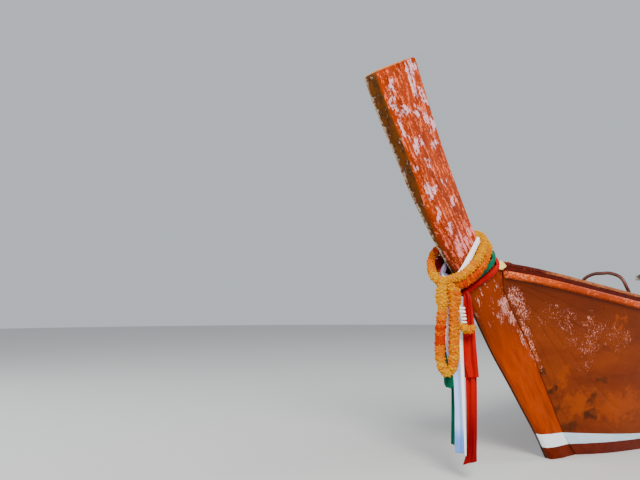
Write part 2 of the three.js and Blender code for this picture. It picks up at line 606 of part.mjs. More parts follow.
function mirroredSolid(geometry) {
  return mirrored(mergeVertices(geometry.clone().deleteAttribute('normal').deleteAttribute('uv'), MERGE));
}

// Block with its sump and mounting feet, cylinder head with the valve cover
const block = box([BLOCK.from, BLOCK.to], [-BLOCK.half, BLOCK.half], [BLOCK.low, BLOCK.high]);
const sump = box([BLOCK.from + 40, BLOCK.to - 60], [-110, 110], [-225, BLOCK.low + 5]);
const feet = [BLOCK.from + 40, BLOCK.to - 80].map((x) =>
  box([x, x + 60], acrossRails, [RAILS.high + GAP, 0]));
part('engine_block', union(block, sump, ...feet), CAST_IRON, engine);
const head = box([BLOCK.from + 10, BLOCK.to - 10], [-120, 120], [BLOCK.high + GAP, 265]);
const valveCover = box([BLOCK.from + 30, BLOCK.to - 30], [-75, 75], [260, HEAD_TOP]);
part('cylinder_head', union(head, valveCover), GREY_PAINT, engine);

// Gearbox and bell housing behind the block, down to the tail flange
const GEARBOX_BACK = 30;
part('gearbox', turned([[BLOCK.from - GAP, 0], [BLOCK.from - GAP, 138], [BLOCK.from - 50, 132], [100, 92],
  [60, 84], [60, 70], [GEARBOX_BACK, 70], [GEARBOX_BACK, 0]], 20), CAST_IRON, engine);

// Belt drive: crank, fan and alternator pulleys with their belt, and the alternator beside the block
const BELT = { from: BLOCK.to + GAP, to: BLOCK.to + 45 };
const PULLEYS = [[0, -60, 75, 18], [0, 120, 55, 16], [118, 150, 32, 12]];   // y, z, radius, sides
const pulleys = PULLEYS.map(([y, z, radius, sides]) =>
  rod([BELT.from, y, z], [BELT.to, y, z], radius, sides));
const beltFace = new THREE.Shape();
beltFace.setFromPoints([[-70, -88], [70, -88], [150, 150], [118, 186], [0, 178], [-56, 120]]
  .map(([y, z]) => new THREE.Vector2(y, z)));
const alongShaft = new THREE.Matrix4().makeBasis(
  new THREE.Vector3(0, 1, 0), new THREE.Vector3(0, 0, 1), new THREE.Vector3(1, 0, 0));
const belt = new THREE.ExtrudeGeometry(beltFace, { depth: 16, bevelEnabled: false })
  .applyMatrix4(alongShaft).translate(BELT.from + 14, 0, 0);
part('belt_drive', union(...pulleys, belt), RUSTY_PIPE, engine);
const alternatorBody = rod([BLOCK.to - 160, 212, 140], [BLOCK.to - 20, 212, 140], 58, 16);
const alternatorArm = box([BLOCK.to - 120, BLOCK.to - 60], [BLOCK.half + GAP, 180], [110, 170]);
part('alternator', union(alternatorBody, alternatorArm), BARE_STEEL, engine);

// Exhaust: manifold on the starboard side, and a pipe with a silencer that runs aft and up
const EXHAUST_Y = -180;
const manifold = box([BLOCK.from + 40, BLOCK.to - 60], [-185, -120 - GAP], [195, 240]);
const pipe = tube([[BLOCK.from + 80, -160, 220], [BLOCK.from - 60, -175, 235], [20, EXHAUST_Y, 280],
  [-60, EXHAUST_Y, 400], [-78, EXHAUST_Y, 520]], 24, 10, 10);
const silencer = rod([-75, EXHAUST_Y, 430], [-80, EXHAUST_Y, 600], 45, 16);
part('exhaust', union(manifold, pipe, silencer), RUSTY_PIPE, engine);

// Air cleaner on the valve cover
const CLEANER = { x: 400, radius: 115, neck: 45, low: 336, high: 405 };
const cleanerDrum = rod([CLEANER.x, 0, CLEANER.low], [CLEANER.x, 0, CLEANER.high], CLEANER.radius, 22);
const cleanerNeck = rod([CLEANER.x, 0, HEAD_TOP + GAP], [CLEANER.x, 0, CLEANER.low + 5], CLEANER.neck, 16);
part('air_cleaner', union(cleanerDrum, cleanerNeck), CAST_IRON, engine);

// Tiller: long bar forward of the cradle, with a grip
const TILLER = { from: RAILS.to - 45, to: 1680, lowZ: 30, highZ: 90, radius: 17, grip: 22, gripLength: 160 };
const tillerZ = (x) => THREE.MathUtils.mapLinear(x, TILLER.from, TILLER.to, TILLER.lowZ, TILLER.highZ);
const tillerRod = (x0, x1, radius) => rod([x0, 0, tillerZ(x0)], [x1, 0, tillerZ(x1)], radius, 12);
const tillerFoot = box([RAILS.to - 45, RAILS.to - 5], [-30, 30], [10 + GAP, 50]);
part('tiller_bar', union(tillerRod(TILLER.from, TILLER.to, TILLER.radius),
  tillerRod(TILLER.to - TILLER.gripLength, TILLER.to + 5, TILLER.grip), tillerFoot), BARE_STEEL, engine);

// Tail: flanged tube with a bearing at its end, brace above it, skeg below
const flangeFront = GEARBOX_BACK - GAP;
const FLANGE = { radius: 72, thick: 20 };
part('tail_tube', turned([[flangeFront, TUBE.bearing], [flangeFront, FLANGE.radius],
  [flangeFront - FLANGE.thick, FLANGE.radius], [flangeFront - FLANGE.thick - 4, TUBE.radius],
  [TUBE.end, TUBE.radius], [TUBE.end, TUBE.bearing], [TUBE.end + 120, TUBE.bearing],
  [TUBE.end + 124, TUBE.radius - TUBE.wall], [flangeFront - 40, TUBE.radius - TUBE.wall],
  [flangeFront - 36, TUBE.bearing]], 20), BARE_STEEL, engine);
const BRACE = { radius: 12, foot: TUBE.radius + 14 };
const BRACE_ROWS = [[-330, BRACE.foot], [-420, 110], [-1450, 150], [-2400, 120], [-2800, BRACE.foot]];
const braceBar = tube(BRACE_ROWS.map(([x, z]) => [x, 0, z]), BRACE.radius, 20);
const bracePosts = BRACE_ROWS.slice(1, -1).map(([x, z]) => rod([x, 0, TUBE.radius + 2], [x, 0, z], 9, 8));
const braceFeet = BRACE_ROWS.map(([x]) =>
  box([x - 30, x + 30], [-14, 14], [TUBE.radius - 8, TUBE.radius + 16]));
const tubeRoom = rod([-3800, 0, 0], [0, 0, 0], TUBE.radius + GAP, 20);
part('tail_brace', cut(union(braceBar, ...bracePosts, ...braceFeet), tubeRoom), BARE_STEEL, engine);
const skegShape = new THREE.Shape();
skegShape.setFromPoints([[-3120, -20], [-3690, -20], [-3760, -215], [-3560, -225], [-3420, -130]]
  .map(([x, z]) => new THREE.Vector2(x, z)));
const SKEG_THICK = 8;
const skegPlate = new THREE.ExtrudeGeometry(skegShape, { depth: SKEG_THICK, bevelEnabled: false })
  .rotateX(Math.PI / 2).translate(0, SKEG_THICK / 2, 0);
const skegBands = [-3220, -3640].map((x) => rod([x, 0, 0], [x + 40, 0, 0], 46, 20));
part('tail_skeg', cut(union(skegPlate, ...skegBands), tubeRoom), BARE_STEEL, engine);

// Propeller: shaft end, hub, two twisted blades and a nut
const PROP = { radius: 170, hub: 30, blades: 2, chord: 105, thick: 7, twist: 0.95 };
const BLADE_ROWS = [[18, 0.62, 1.0], [60, 0.9, 0.85], [110, 1.0, 0.6], [150, 0.8, 0.45],
  [PROP.radius, 0.35, 0.35]];      // radius, then chord and thickness as shares
function blade(turn) {
  const rings = BLADE_ROWS.map(([radius, width, thickness]) => {
    const angle = Math.PI / 2 - Math.atan2(radius, 0.55 * PROP.radius) * PROP.twist;
    const [halfChord, halfThick] = [PROP.chord * width / 2, PROP.thick * thickness / 2];
    return [[-halfChord, 0], [0, halfThick], [halfChord, 0], [0, -halfThick]].map(([along, across]) => [
      PROPELLER_X + along * Math.cos(angle) - across * Math.sin(angle),
      along * Math.sin(angle) + across * Math.cos(angle),
      radius]);
  });
  return loft(rings).rotateX(turn);
}
const HUB_ROWS = [[55, 0], [55, 26], [20, PROP.hub], [-40, PROP.hub - 3], [-60, 18], [-85, 10], [-90, 0]];
const hub = turned(HUB_ROWS.map(([x, radius]) => [PROPELLER_X + x, radius]), 20);
const shaftEnd = rod([PROPELLER_X + 50, 0, 0], [TUBE.end + 110, 0, 0], 15.5, 16);
const blades = Array.from({ length: PROP.blades }, (_, i) => blade((i / PROP.blades) * 2 * Math.PI));
part('propeller', union(hub, shaftEnd, ...blades), BRASS, engine);

// Canopy: posts and a rail on each side, bows with a ridge, and the roof
const belowPosts = sheerLayer(-Infinity, GUNWALE_HEIGHT + GAP);
const postStock = CANOPY_POSTS_X.map((x) => {
  const [, , sheerY, sheerZ] = stationAt(x);
  const foot = [x, sheerY - GUNWALE_THICK / 2, sheerZ + 60];
  return rod(foot, [x, CANOPY_RAIL_Y, CANOPY_RAIL_Z], CANOPY_TUBE, 8);
});
const railEnds = [CANOPY_BACK_X, CANOPY_FRONT_X].map((x) => [x, CANOPY_RAIL_Y, CANOPY_RAIL_Z]);
const canopyRail = rod(...railEnds, CANOPY_TUBE, 8);
const canopyFrame = cut(union(canopyRail, ...postStock), belowPosts);
part('canopy_frame_port', canopyFrame, GALVANISED);
part('canopy_frame_starboard', mirrored(canopyFrame), GALVANISED);

const ROOF_RADIUS = (CANOPY_HALF ** 2 + CANOPY_RISE ** 2) / (2 * CANOPY_RISE);
const ROOF_STEPS = 8;
const roofBase = CANOPY_RAIL_Z + CANOPY_TUBE + 14;
const roofCentreZ = roofBase + CANOPY_RISE - ROOF_RADIUS;
const roofReach = Math.asin(CANOPY_HALF / ROOF_RADIUS);
function roofArc(radius) {
  return Array.from({ length: ROOF_STEPS + 1 }, (_, i) => {
    const angle = roofReach * (2 * i / ROOF_STEPS - 1);
    return [radius * Math.sin(angle), roofCentreZ + radius * Math.cos(angle)];
  });
}
const roofBand = (x0, x1, low, high) => loft([x0, x1].map((x) =>
  [...roofArc(ROOF_RADIUS + low), ...roofArc(ROOF_RADIUS + high).reverse()].map(([y, z]) => [x, y, z])));
const BOW_DEPTH = 24;
const roofTop = roofCentreZ + ROOF_RADIUS;
const bowReachY = CANOPY_RAIL_Y + 10;
const bowReach = box([CANOPY_BACK_X, CANOPY_FRONT_X], [-bowReachY, bowReachY], [0, roofTop]);
const bows = CANOPY_POSTS_X.map((x) => common(roofBand(x - 15, x + 15, -BOW_DEPTH, -GAP), bowReach));
const ridgeSpan = [CANOPY_POSTS_X[0], CANOPY_POSTS_X.at(-1)];
const ridge = box(ridgeSpan, [-14, 14], [roofTop - BOW_DEPTH + 1, roofTop - 4]);
const bowFeet = CANOPY_POSTS_X.flatMap((x) => [-1, 1].map((side) => box([x - 12, x + 12],
  [side * CANOPY_RAIL_Y - (side > 0 ? 12 : 6), side * CANOPY_RAIL_Y + (side > 0 ? 6 : 12)],
  [CANOPY_RAIL_Z + CANOPY_TUBE + GAP, roofBase + 4])));
part('canopy_bows', union(...bows, ridge, ...bowFeet), GALVANISED);
part('canopy_roof', roofBand(CANOPY_BACK_X - 30, CANOPY_FRONT_X + 30, 0, 14), CANOPY_CLOTH);

// Boarding ladder stowed on the bow deck, its hooped end standing up forward
const LADDER = { y: 190, half: 210, tube: 15, backX: 3330, hoopX: 4130 };
const deckSurface = (x) => stationAt(x)[3] - RIB_TOP_DROP + DECK_THICK;
const ladderZ = (x) => deckSurface(x) + LADDER.tube;
const railPoints = (side) => {
  const y = LADDER.y + side * LADDER.half;
  const top = LADDER.hoopX + 20;
  return [[LADDER.backX, y, ladderZ(LADDER.backX) + 4], [3700, y, ladderZ(3700) + 4],
    [3990, y, ladderZ(3990) + 20], [LADDER.hoopX, y, 1400], [top, y - side * 40, 1500],
    [top, LADDER.y + side * 80, 1545], [top, LADDER.y, 1549]];
};
const ladderRails = [1, -1].map((side) => tube(railPoints(side), LADDER.tube, 15, 8));
const RUNG_XS = [3380, 3600, 3820];
const rungEnd = (x, side) => [x, LADDER.y + side * LADDER.half, ladderZ(x) + 4];
const rungs = RUNG_XS.map((x) => rod(rungEnd(x, -1), rungEnd(x, 1), 11, 6));
part('boarding_ladder', union(...ladderRails, ...rungs), LADDER_PAINT);

// Scarves: each a band round the prow and a tail that hangs from it.
// Columns: name, material, band's back x and z, band's front x and z, band width, layer,
// then the tail's x, y, half-sizes across and low end.
const BAND_THICK = 12;
const KNOT_Y = 50;              // a knot reaches in at least this far, to its band
const SCARVES = [
  ['scarf_red', RED_CLOTH, 675, 1600, 1000, 1345, 56, 1020, 86, 34, 16, 130],
  ['scarf_green', GREEN_CLOTH, 735, 1668, 1045, 1415, 56, 1140, -45, 26, 16, 290],
  ['scarf_white', WHITE_CLOTH, 850, 1770, 1096, 1497, 50, 1068, 0, 32, 16, 205],
];
const scarfSpace = [];          // room that the garland leaves to the scarves
const grownStem = (grow) => loft(STEM_ROWS.slice(7).map((row) => stemRing(row, grow)));

// The stretch of the prow that a band covers, as a slanted slab
function bandSlab([backX, backZ], [frontX, frontZ], width) {
  const back = new THREE.Vector2(backX + STEM_X, backZ);
  const front = new THREE.Vector2(frontX + STEM_X, frontZ);
  const along = front.clone().sub(back).normalize();
  const up = new THREE.Vector2(-along.y, along.x).multiplyScalar(width / 2);
  back.addScaledVector(along, -120);
  front.addScaledVector(along, 120);
  return loft([-150, 150].map((y) => [
    [back.x + up.x, y, back.y + up.y], [front.x + up.x, y, front.y + up.y],
    [front.x - up.x, y, front.y - up.y], [back.x - up.x, y, back.y - up.y]]));
}

for (const [name, material, backX, backZ, frontX, frontZ, width,
  tailX, tailY, halfX, halfY, lowZ] of SCARVES) {
  const ends = [[backX, backZ], [frontX, frontZ]];
  const band = common(bandSlab(...ends, width), grownStem(BAND_THICK));
  const topZ = frontZ + 15;
  const x = tailX + STEM_X;
  const tailSpan = [[x - halfX, x + halfX], [tailY - halfY, tailY + halfY], [lowZ, topZ]];
  const knotSpan = [[frontX + STEM_X - 50, x + halfX],
    [Math.min(tailY - halfY, KNOT_Y), Math.max(tailY + halfY, 20 - KNOT_Y)], [topZ - 45, topZ]];
  const grown = (span) => box(...span.map(([low, high]) => [low - GAP, high + GAP]));
  part(name, cut(union(band, box(...tailSpan), box(...knotSpan)), grownStem(GAP), ...scarfSpace), material);
  scarfSpace.push(grown(tailSpan), grown(knotSpan));
  scarfSpace.push(common(bandSlab(...ends, width + 2 * GAP), grownStem(BAND_THICK + GAP)));
}

// Garland: a thick ring hung round the prow, and two strands that hang from its front
// It lies on the port side and swings out on the other. Columns: x, y, z of the ring's middle
const RING_POINTS = [
  [1190, 10, 1402], [1130, 95, 1432], [1065, 113, 1464], [984, 116, 1516], [911, 115, 1580],
  [855, 110, 1660], [818, 100, 1735], [826, 72, 1790], [842, 0, 1815], [840, -78, 1800],
  [890, -125, 1765], [980, -150, 1710], [1070, -160, 1640], [1125, -150, 1565], [1155, -118, 1490],
  [1182, -60, 1430],
];
const RING = { tilt: Math.atan2(430, 480), thick: 36, wide: 58, rows: 24, sides: 8 };
const ringPath = new THREE.CatmullRomCurve3(
  RING_POINTS.map(([x, y, z]) => new THREE.Vector3(x + STEM_X, y, z)), true);
const ringTube = (grow) => ringSkin(Array.from({ length: RING.rows }, (_, i) => {
  const centre = ringPath.getPointAt(i / RING.rows);
  const across = new THREE.Vector3(Math.sin(RING.tilt), 0, Math.cos(RING.tilt));
  const away = ringPath.getTangentAt(i / RING.rows).cross(across).normalize();
  return Array.from({ length: RING.sides }, (_, k) => {
    const angle = (k / RING.sides) * 2 * Math.PI;
    return centre.clone().addScaledVector(away, (RING.thick + grow) * Math.cos(angle))
      .addScaledVector(across, (RING.wide + grow) * Math.sin(angle)).toArray();
  });
}));
part('garland_ring', cut(ringTube(0), grownStem(BAND_THICK + GAP), ...scarfSpace), YELLOW_FLOWERS);

// A closed skin over rings whose last joins the first
function ringSkin(rings) {
  const count = rings[0].length;
  const points = rings.flat();
  const faces = [];
  for (let r = 0; r < rings.length; r++) {
    for (let i = 0; i < count; i++) {
      const next = ((r + 1) % rings.length) * count;
      const [a, b] = [r * count + i, r * count + (i + 1) % count];
      const [c, d] = [next + (i + 1) % count, next + i];
      faces.push([a, b, c], [a, c, d]);
    }
  }
  if (signedVolume(points, faces) < 0) faces.forEach((face) => face.reverse());
  const geometry = new THREE.BufferGeometry();
  geometry.setAttribute('position', new THREE.Float32BufferAttribute(points.flat(), 3));
  geometry.setIndex(faces.flat());
  return geometry;
}

// Two strands in one loop that hangs from the front of the ring
const DROP = { topZ: 1420, lowZ: 765, frontX: 1217, frontY: -20, backX: 1170, backY: 72, radius: 36 };
const dropMiddle = [(DROP.frontX + DROP.backX) / 2, (DROP.frontY + DROP.backY) / 2];
const dropPoints = [[DROP.frontX, DROP.frontY, DROP.topZ], [DROP.frontX + 4, DROP.frontY, 1100],
  [DROP.frontX, DROP.frontY, 840], [...dropMiddle, DROP.lowZ],
  [DROP.backX, DROP.backY, 840], [DROP.backX - 4, DROP.backY, 1100], [DROP.backX, DROP.backY, DROP.topZ]]
  .map(([x, y, z]) => [x + STEM_X, y, z]);
part('garland_drop', cut(tube(dropPoints, DROP.radius, 18, 8), ringTube(GAP)), ORANGE_FLOWERS);

export default boat;
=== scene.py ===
# A wooden longtail boat afloat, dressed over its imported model. Metres, +X to the bow, +Y to port, +Z up.
import math
import random

import bmesh
import bpy
from mathutils import Matrix, Vector


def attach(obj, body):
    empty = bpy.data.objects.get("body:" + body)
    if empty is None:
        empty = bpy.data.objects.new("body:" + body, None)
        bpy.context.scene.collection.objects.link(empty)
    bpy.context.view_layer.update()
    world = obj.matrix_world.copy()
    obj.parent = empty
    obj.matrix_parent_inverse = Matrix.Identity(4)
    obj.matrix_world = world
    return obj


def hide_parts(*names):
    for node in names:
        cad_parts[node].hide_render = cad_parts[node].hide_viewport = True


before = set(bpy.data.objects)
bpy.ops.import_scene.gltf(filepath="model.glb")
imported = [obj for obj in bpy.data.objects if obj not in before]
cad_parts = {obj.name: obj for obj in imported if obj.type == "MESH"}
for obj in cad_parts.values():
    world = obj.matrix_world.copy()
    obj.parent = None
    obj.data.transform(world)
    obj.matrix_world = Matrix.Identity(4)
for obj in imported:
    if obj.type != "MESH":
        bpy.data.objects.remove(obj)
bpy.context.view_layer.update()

scene = bpy.context.scene

# Camera: it stands off the port bow, a little above the water, and looks slightly up at the prow.
# The picture is 640 by 480, and 560 of its pixels make one unit of slope.
def linked(name, data):
    """A new object in the scene, from a mesh, a lamp or a lens."""
    made = bpy.data.objects.new(name, data)
    scene.collection.objects.link(made)
    return made


CAMERA_AT = Vector((9.191, 2.791, 1.220))
CAMERA_TURN = math.radians(36)
CAMERA_PITCH = math.radians(7.125)
PICTURE_WIDTH = 640
FOCAL_PIXELS = 560
SENSOR = 36
lens = bpy.data.cameras.new("camera")
lens.sensor_width = SENSOR
lens.lens = SENSOR * FOCAL_PIXELS / PICTURE_WIDTH
camera = linked("camera", lens)
looking = Vector((-math.sin(CAMERA_TURN) * math.cos(CAMERA_PITCH),
                  -math.cos(CAMERA_TURN) * math.cos(CAMERA_PITCH), math.sin(CAMERA_PITCH)))
camera.location = CAMERA_AT
camera.rotation_euler = looking.to_track_quat("-Z", "Y").to_euler()
scene.camera = camera


# Planking: hardwood strakes 30 mm thick, laid edge to edge on the ribs from the keel to the sheer
# and caulked in the seams. Varnished brown above a white boot stripe, red-brown antifouling below.
PLANK_THICK = 0.030
TIMBER_HALF = 0.060
PLANK_LAND = 0.008
TRANSOM_X = -4.85
TRANSOM_FOOT_Z = -0.060
TRANSOM_RAKE = 0.22
RAKE_START_X = -3.3
STEM_X = 4.85
PROW_X = 5.43
# Columns: x, lower edge z, sheer half-breadth, sheer z, then the section curve's two inner points
STATIONS = (
    (-4.850, -0.060, 0.450, 0.730, 0.72, 0.03, 0.95, 0.36),
    (-4.200, -0.150, 0.640, 0.668, 0.74, 0.03, 0.96, 0.36),
    (-3.000, -0.262, 0.860, 0.606, 0.75, 0.03, 0.97, 0.36),
    (-1.500, -0.300, 0.985, 0.580, 0.76, 0.03, 0.97, 0.38),
    (0.000, -0.310, 1.015, 0.612, 0.76, 0.03, 0.97, 0.38),
    (1.300, -0.310, 0.960, 0.730, 0.74, 0.03, 0.95, 0.38),
    (2.400, -0.307, 0.838, 0.893, 0.68, 0.02, 0.89, 0.40),
    (3.250, -0.300, 0.700, 1.050, 0.58, 0.02, 0.80, 0.43),
    (3.850, -0.280, 0.568, 1.168, 0.46, 0.02, 0.72, 0.46),
    (4.230, -0.200, 0.480, 1.241, 0.40, 0.05, 0.68, 0.50),
    (4.500, -0.020, 0.402, 1.295, 0.36, 0.15, 0.68, 0.58),
    (4.700, 0.212, 0.342, 1.335, 0.34, 0.25, 0.67, 0.63),
    (4.850, 0.470, 0.300, 1.364, 0.33, 0.30, 0.67, 0.65),
    (4.950, 0.640, 0.267, 1.385, 0.33, 0.32, 0.67, 0.66),
    (5.067, 0.867, 0.225, 1.408, 0.33, 0.33, 0.67, 0.67),
    (5.200, 1.050, 0.175, 1.434, 0.33, 0.33, 0.67, 0.67),
    (5.346, 1.244, 0.112, 1.457, 0.33, 0.33, 0.67, 0.67),
    (5.430, 1.380, 0.074, 1.470, 0.33, 0.33, 0.67, 0.67),
)


def station(x):
    """The hull table's columns as smooth curves over x."""
    last = len(STATIONS) - 1
    i = 0
    while i < last - 1 and x > STATIONS[i + 1][0]:
        i += 1

    def slope(k, column):
        back, front = STATIONS[max(k - 1, 0)], STATIONS[min(k + 1, last)]
        return (front[column] - back[column]) / (front[0] - back[0])

    low, high = STATIONS[i], STATIONS[i + 1]
    span = high[0] - low[0]
    t = (x - low[0]) / span
    values = [x]
    for column in range(1, len(low)):
        values.append((1 + 2 * t) * (1 - t) ** 2 * low[column] + t * (1 - t) ** 2 * span * slope(i, column)
                      + t * t * (3 - 2 * t) * high[column] + t * t * (t - 1) * span * slope(i + 1, column))
    return values


def raked(x, z):
    share = min(max((RAKE_START_X - x) / (RAKE_START_X - TRANSOM_X), 0), 1)
    return x - TRANSOM_RAKE * share * (z - TRANSOM_FOOT_Z)


def side_point(x, share, depth):
    """A point of the port side at a share of the way from keel to sheer, some depth into the planking."""
    _, low, breadth, sheer, y1, z1, y2, z2 = station(x)
    foot = TIMBER_HALF + PLANK_LAND
    corners = [Vector((foot, low)), Vector((foot + y1 * (breadth - foot), low + z1 * (sheer - low))),
               Vector((foot + y2 * (breadth - foot), low + z2 * (sheer - low))), Vector((breadth, sheer))]
    rest = 1 - share
    weights = (rest ** 3, 3 * rest ** 2 * share, 3 * rest * share ** 2, share ** 3)
    at = sum((corner * weight for corner, weight in zip(corners, weights)), Vector((0, 0)))
    slopes = (3 * rest ** 2, 6 * rest * share, 3 * share ** 2)
    along = sum(((corners[k + 1] - corners[k]) * slopes[k] for k in range(3)), Vector((0, 0))).normalized()
    y = max(at.x - along.y * depth, TIMBER_HALF + (0 if depth > 0 else PLANK_LAND))
    z = min(at.y + along.x * depth, sheer)
    return Vector((raked(x, z), y, z))


def side_at(x, z, depth, halvings=18):
    """The port side's point at a height, some depth into the planking."""
    low, high = 0.0, 1.0
    for _ in range(halvings):
        middle = (low + high) / 2
        if side_point(x, middle, depth).z < z:
            low = middle
        else:
            high = middle
    return side_point(x, low, depth)


def skin(name, rows, closed=True, capped=True, sharp=35, mirror=False, place=None):
    """A mesh over rows of points. The Surface map runs across a row and along the rows, in metres."""
    if place:
        rows = [[place @ Vector(point) for point in row] for row in rows]
    count = len(rows[0])
    points = [Vector(point) for row in rows for point in row]
    if mirror:
        points = [Vector((p.x, -p.y, p.z)) for p in points]
    across, along = [0.0], [0.0]
    middle = rows[len(rows) // 2]
    for i in range(count):
        across.append(across[-1] + (Vector(middle[(i + 1) % count]) - Vector(middle[i])).length)
    for r in range(1, len(rows)):
        step = sum(((Vector(rows[r][i]) - Vector(rows[r - 1][i])).length for i in range(count)), 0.0) / count
        along.append(along[-1] + step)
    faces, places = [], []
    for r in range(len(rows) - 1):
        for i in range(count if closed else count - 1):
            k = (i + 1) % count
            faces.append((r * count + i, r * count + k, (r + 1) * count + k, (r + 1) * count + i))
            places.append(((across[i], along[r]), (across[i + 1], along[r]),
                           (across[i + 1], along[r + 1]), (across[i], along[r + 1])))
    if capped and closed:
        for r in (0, len(rows) - 1):
            faces.append(tuple(range(r * count, r * count + count)))
            places.append(tuple((across[i], along[r]) for i in range(count)))
    mesh = bpy.data.meshes.new(name)
    mesh.from_pydata(points, [], faces)
    surface = mesh.uv_layers.new(name="Surface")
    for polygon, corners in zip(mesh.polygons, places):
        for loop, place in zip(polygon.loop_indices, corners):
            surface.data[loop].uv = place
    return piece(name, mesh, sharp, closed)


def piece(name, mesh, sharp=35, solid=True):
    """Links a mesh as an object, its faces outward, smooth but for edges sharper than an angle."""
    if solid:
        work = bmesh.new()
        work.from_mesh(mesh)
        bmesh.ops.remove_doubles(work, verts=work.verts, dist=0.00001)
        bmesh.ops.recalc_face_normals(work, faces=work.faces)
        work.to_mesh(mesh)
        work.free()
    mesh.polygons.foreach_set("use_smooth", [True] * len(mesh.polygons))
    mesh.set_sharp_from_angle(angle=math.radians(sharp))
    return linked(name, mesh)


def baked(made):
    """Turns an object's modifiers into its mesh."""
    graph = bpy.context.evaluated_depsgraph_get()
    mesh = bpy.data.meshes.new_from_object(made.evaluated_get(graph))
    made.modifiers.clear()
    made.data = mesh
    return made


def joined(name, parts):
    """One object from several, whose meshes are used up."""
    work = bmesh.new()
    for part in parts:
        work.from_mesh(part.data)
        bpy.data.objects.remove(part)
    mesh = bpy.data.meshes.new(name)
    work.to_mesh(mesh)
    work.free()
    return linked(name, mesh)


def fitted(made, finish, body="hull", nodes=()):
    """Gives a piece its finish, its CAD nodes to stand for and the body it rides on."""
    made.data.materials.clear()
    made.data.materials.append(finish)
    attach(made, body)
    if nodes:
        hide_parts(*nodes)
    return made


class Wire:
    """A node's output. Sums of wires and numbers add their Math nodes."""

    def __init__(self, finish, socket):
        self.finish = finish
        self.socket = socket

    def sum(self, operation, first, second):
        return self.finish.node("ShaderNodeMath", {"operation": operation}, {0: first, 1: second})

    def __add__(self, other):
        return self.sum("ADD", self, other)

    def __radd__(self, other):
        return self.sum("ADD", other, self)

    def __sub__(self, other):
        return self.sum("SUBTRACT", self, other)

    def __rsub__(self, other):
        return self.sum("SUBTRACT", other, self)

    def __mul__(self, other):
        return self.sum("MULTIPLY", self, other)

    def __rmul__(self, other):
        return self.sum("MULTIPLY", other, self)

    def __truediv__(self, other):
        return self.sum("DIVIDE", self, other)

    def __gt__(self, other):
        return self.sum("GREATER_THAN", self, other)

    def larger(self, other):
        return self.sum("MAXIMUM", self, other)


class Finish:
    """A material built from nodes: one method adds any node, and the others name common ones."""

    def __init__(self, name, **fixed):
        self.material = bpy.data.materials.new(name)
        self.material.use_nodes = True
        self.tree = self.material.node_tree
        self.shader = self.tree.nodes["Principled BSDF"]
        for key, value in fixed.items():
            self.shader.inputs[key.replace("_", " ")].default_value = value

    def node(self, kind, settings=(), inputs=(), out=0):
        made = self.tree.nodes.new(kind)
        for key, value in dict(settings).items():
            if key == "stops":
                ramp = made.color_ramp.elements
                while len(ramp) < len(value):
                    ramp.new(0.5)
                for element, (place, color) in zip(ramp, value):
                    element.position = place
                    element.color = color
            else:
                setattr(made, key, value)
        for key, value in dict(inputs).items():
            if isinstance(value, Wire):
                self.tree.links.new(value.socket, made.inputs[key])
            else:
                made.inputs[key].default_value = value
        return Wire(self, made.outputs[out])

    def place(self, stretch=(1, 1, 1), shift=(0, 0, 0), on_surface=False):
        source = self.node("ShaderNodeTexCoord", out="UV" if on_surface else "Object")
        return self.node("ShaderNodeMapping", {}, {"Vector": source, "Scale": stretch, "Location": shift})

    def along(self, letter, on_surface=False):
        source = self.node("ShaderNodeTexCoord", out="UV" if on_surface else "Object")
        return self.node("ShaderNodeSeparateXYZ", {}, {0: source}, out=letter)

    def noise(self, size, stretch=(1, 1, 1), shift=(0, 0, 0), detail=4, rough=0.6, on_surface=False):
        """Noise whose patches are about that many metres across."""
        where = self.place(stretch, shift, on_surface)
        return self.node("ShaderNodeTexNoise", {}, {
            "Vector": where, "Scale": 1 / size, "Detail": detail, "Roughness": rough})

    def ramp(self, wire, low, high):
        """0 under low, 1 over high, smooth between."""
        return self.node("ShaderNodeMapRange", {"interpolation_type": "SMOOTHSTEP"}, {
            "Value": wire, "From Min": low, "From Max": high, "To Min": 0.0, "To Max": 1.0})

    def mix(self, share, first, second):
        return self.node("ShaderNodeMix", {"data_type": "RGBA"}, {0: share, 6: first, 7: second}, out=2)

    def over(self, color, tint, wire, low, high, share=None):
        """A tint laid over a colour: none of it where the wire is at low, all or a share of it at high."""
        there = self.ramp(wire, low, high)
        return self.mix(there if share is None else there * share, color, tint)

    def done(self, color, roughness, height=None, depth=0.001, metallic=None):
        """Links what varies to the shader and gives back the material."""
        self.tree.links.new(color.socket, self.shader.inputs["Base Color"])
        for key, value in (("Roughness", roughness), ("Metallic", metallic)):
            if isinstance(value, Wire):
                self.tree.links.new(value.socket, self.shader.inputs[key])
            elif value is not None:
                self.shader.inputs[key].default_value = value
        if height is not None:
            bump = self.node("ShaderNodeBump", {}, {"Height": height, "Distance": depth, "Strength": 1.0})
            self.tree.links.new(bump.socket, self.shader.inputs["Normal"])
        return self.material


def paint(red, green, blue):
    """A colour read as 0 to 255 each, as the linear light that a shader takes."""
    def light(value):
        value /= 255
        return value / 12.92 if value < 0.04045 else ((value + 0.055) / 1.055) ** 2.4
    return (light(red), light(green), light(blue), 1)


ANTIFOULING = paint(104, 28, 4)
STRIPE_WHITE = paint(246, 250, 255)
# Pale blue, both for dirt on the white stripe and for painted shade on it
STRIPE_DIRT_AND_SHADE = paint(168, 204, 226)
PRIMER_PINK = paint(232, 164, 158)
STRIPE_LOW_Z = 0.100
STRIPE_THICK = 0.040
STRIPE_FLARE_X = 3.6
STRIPE_FLARE_Z = 0.080


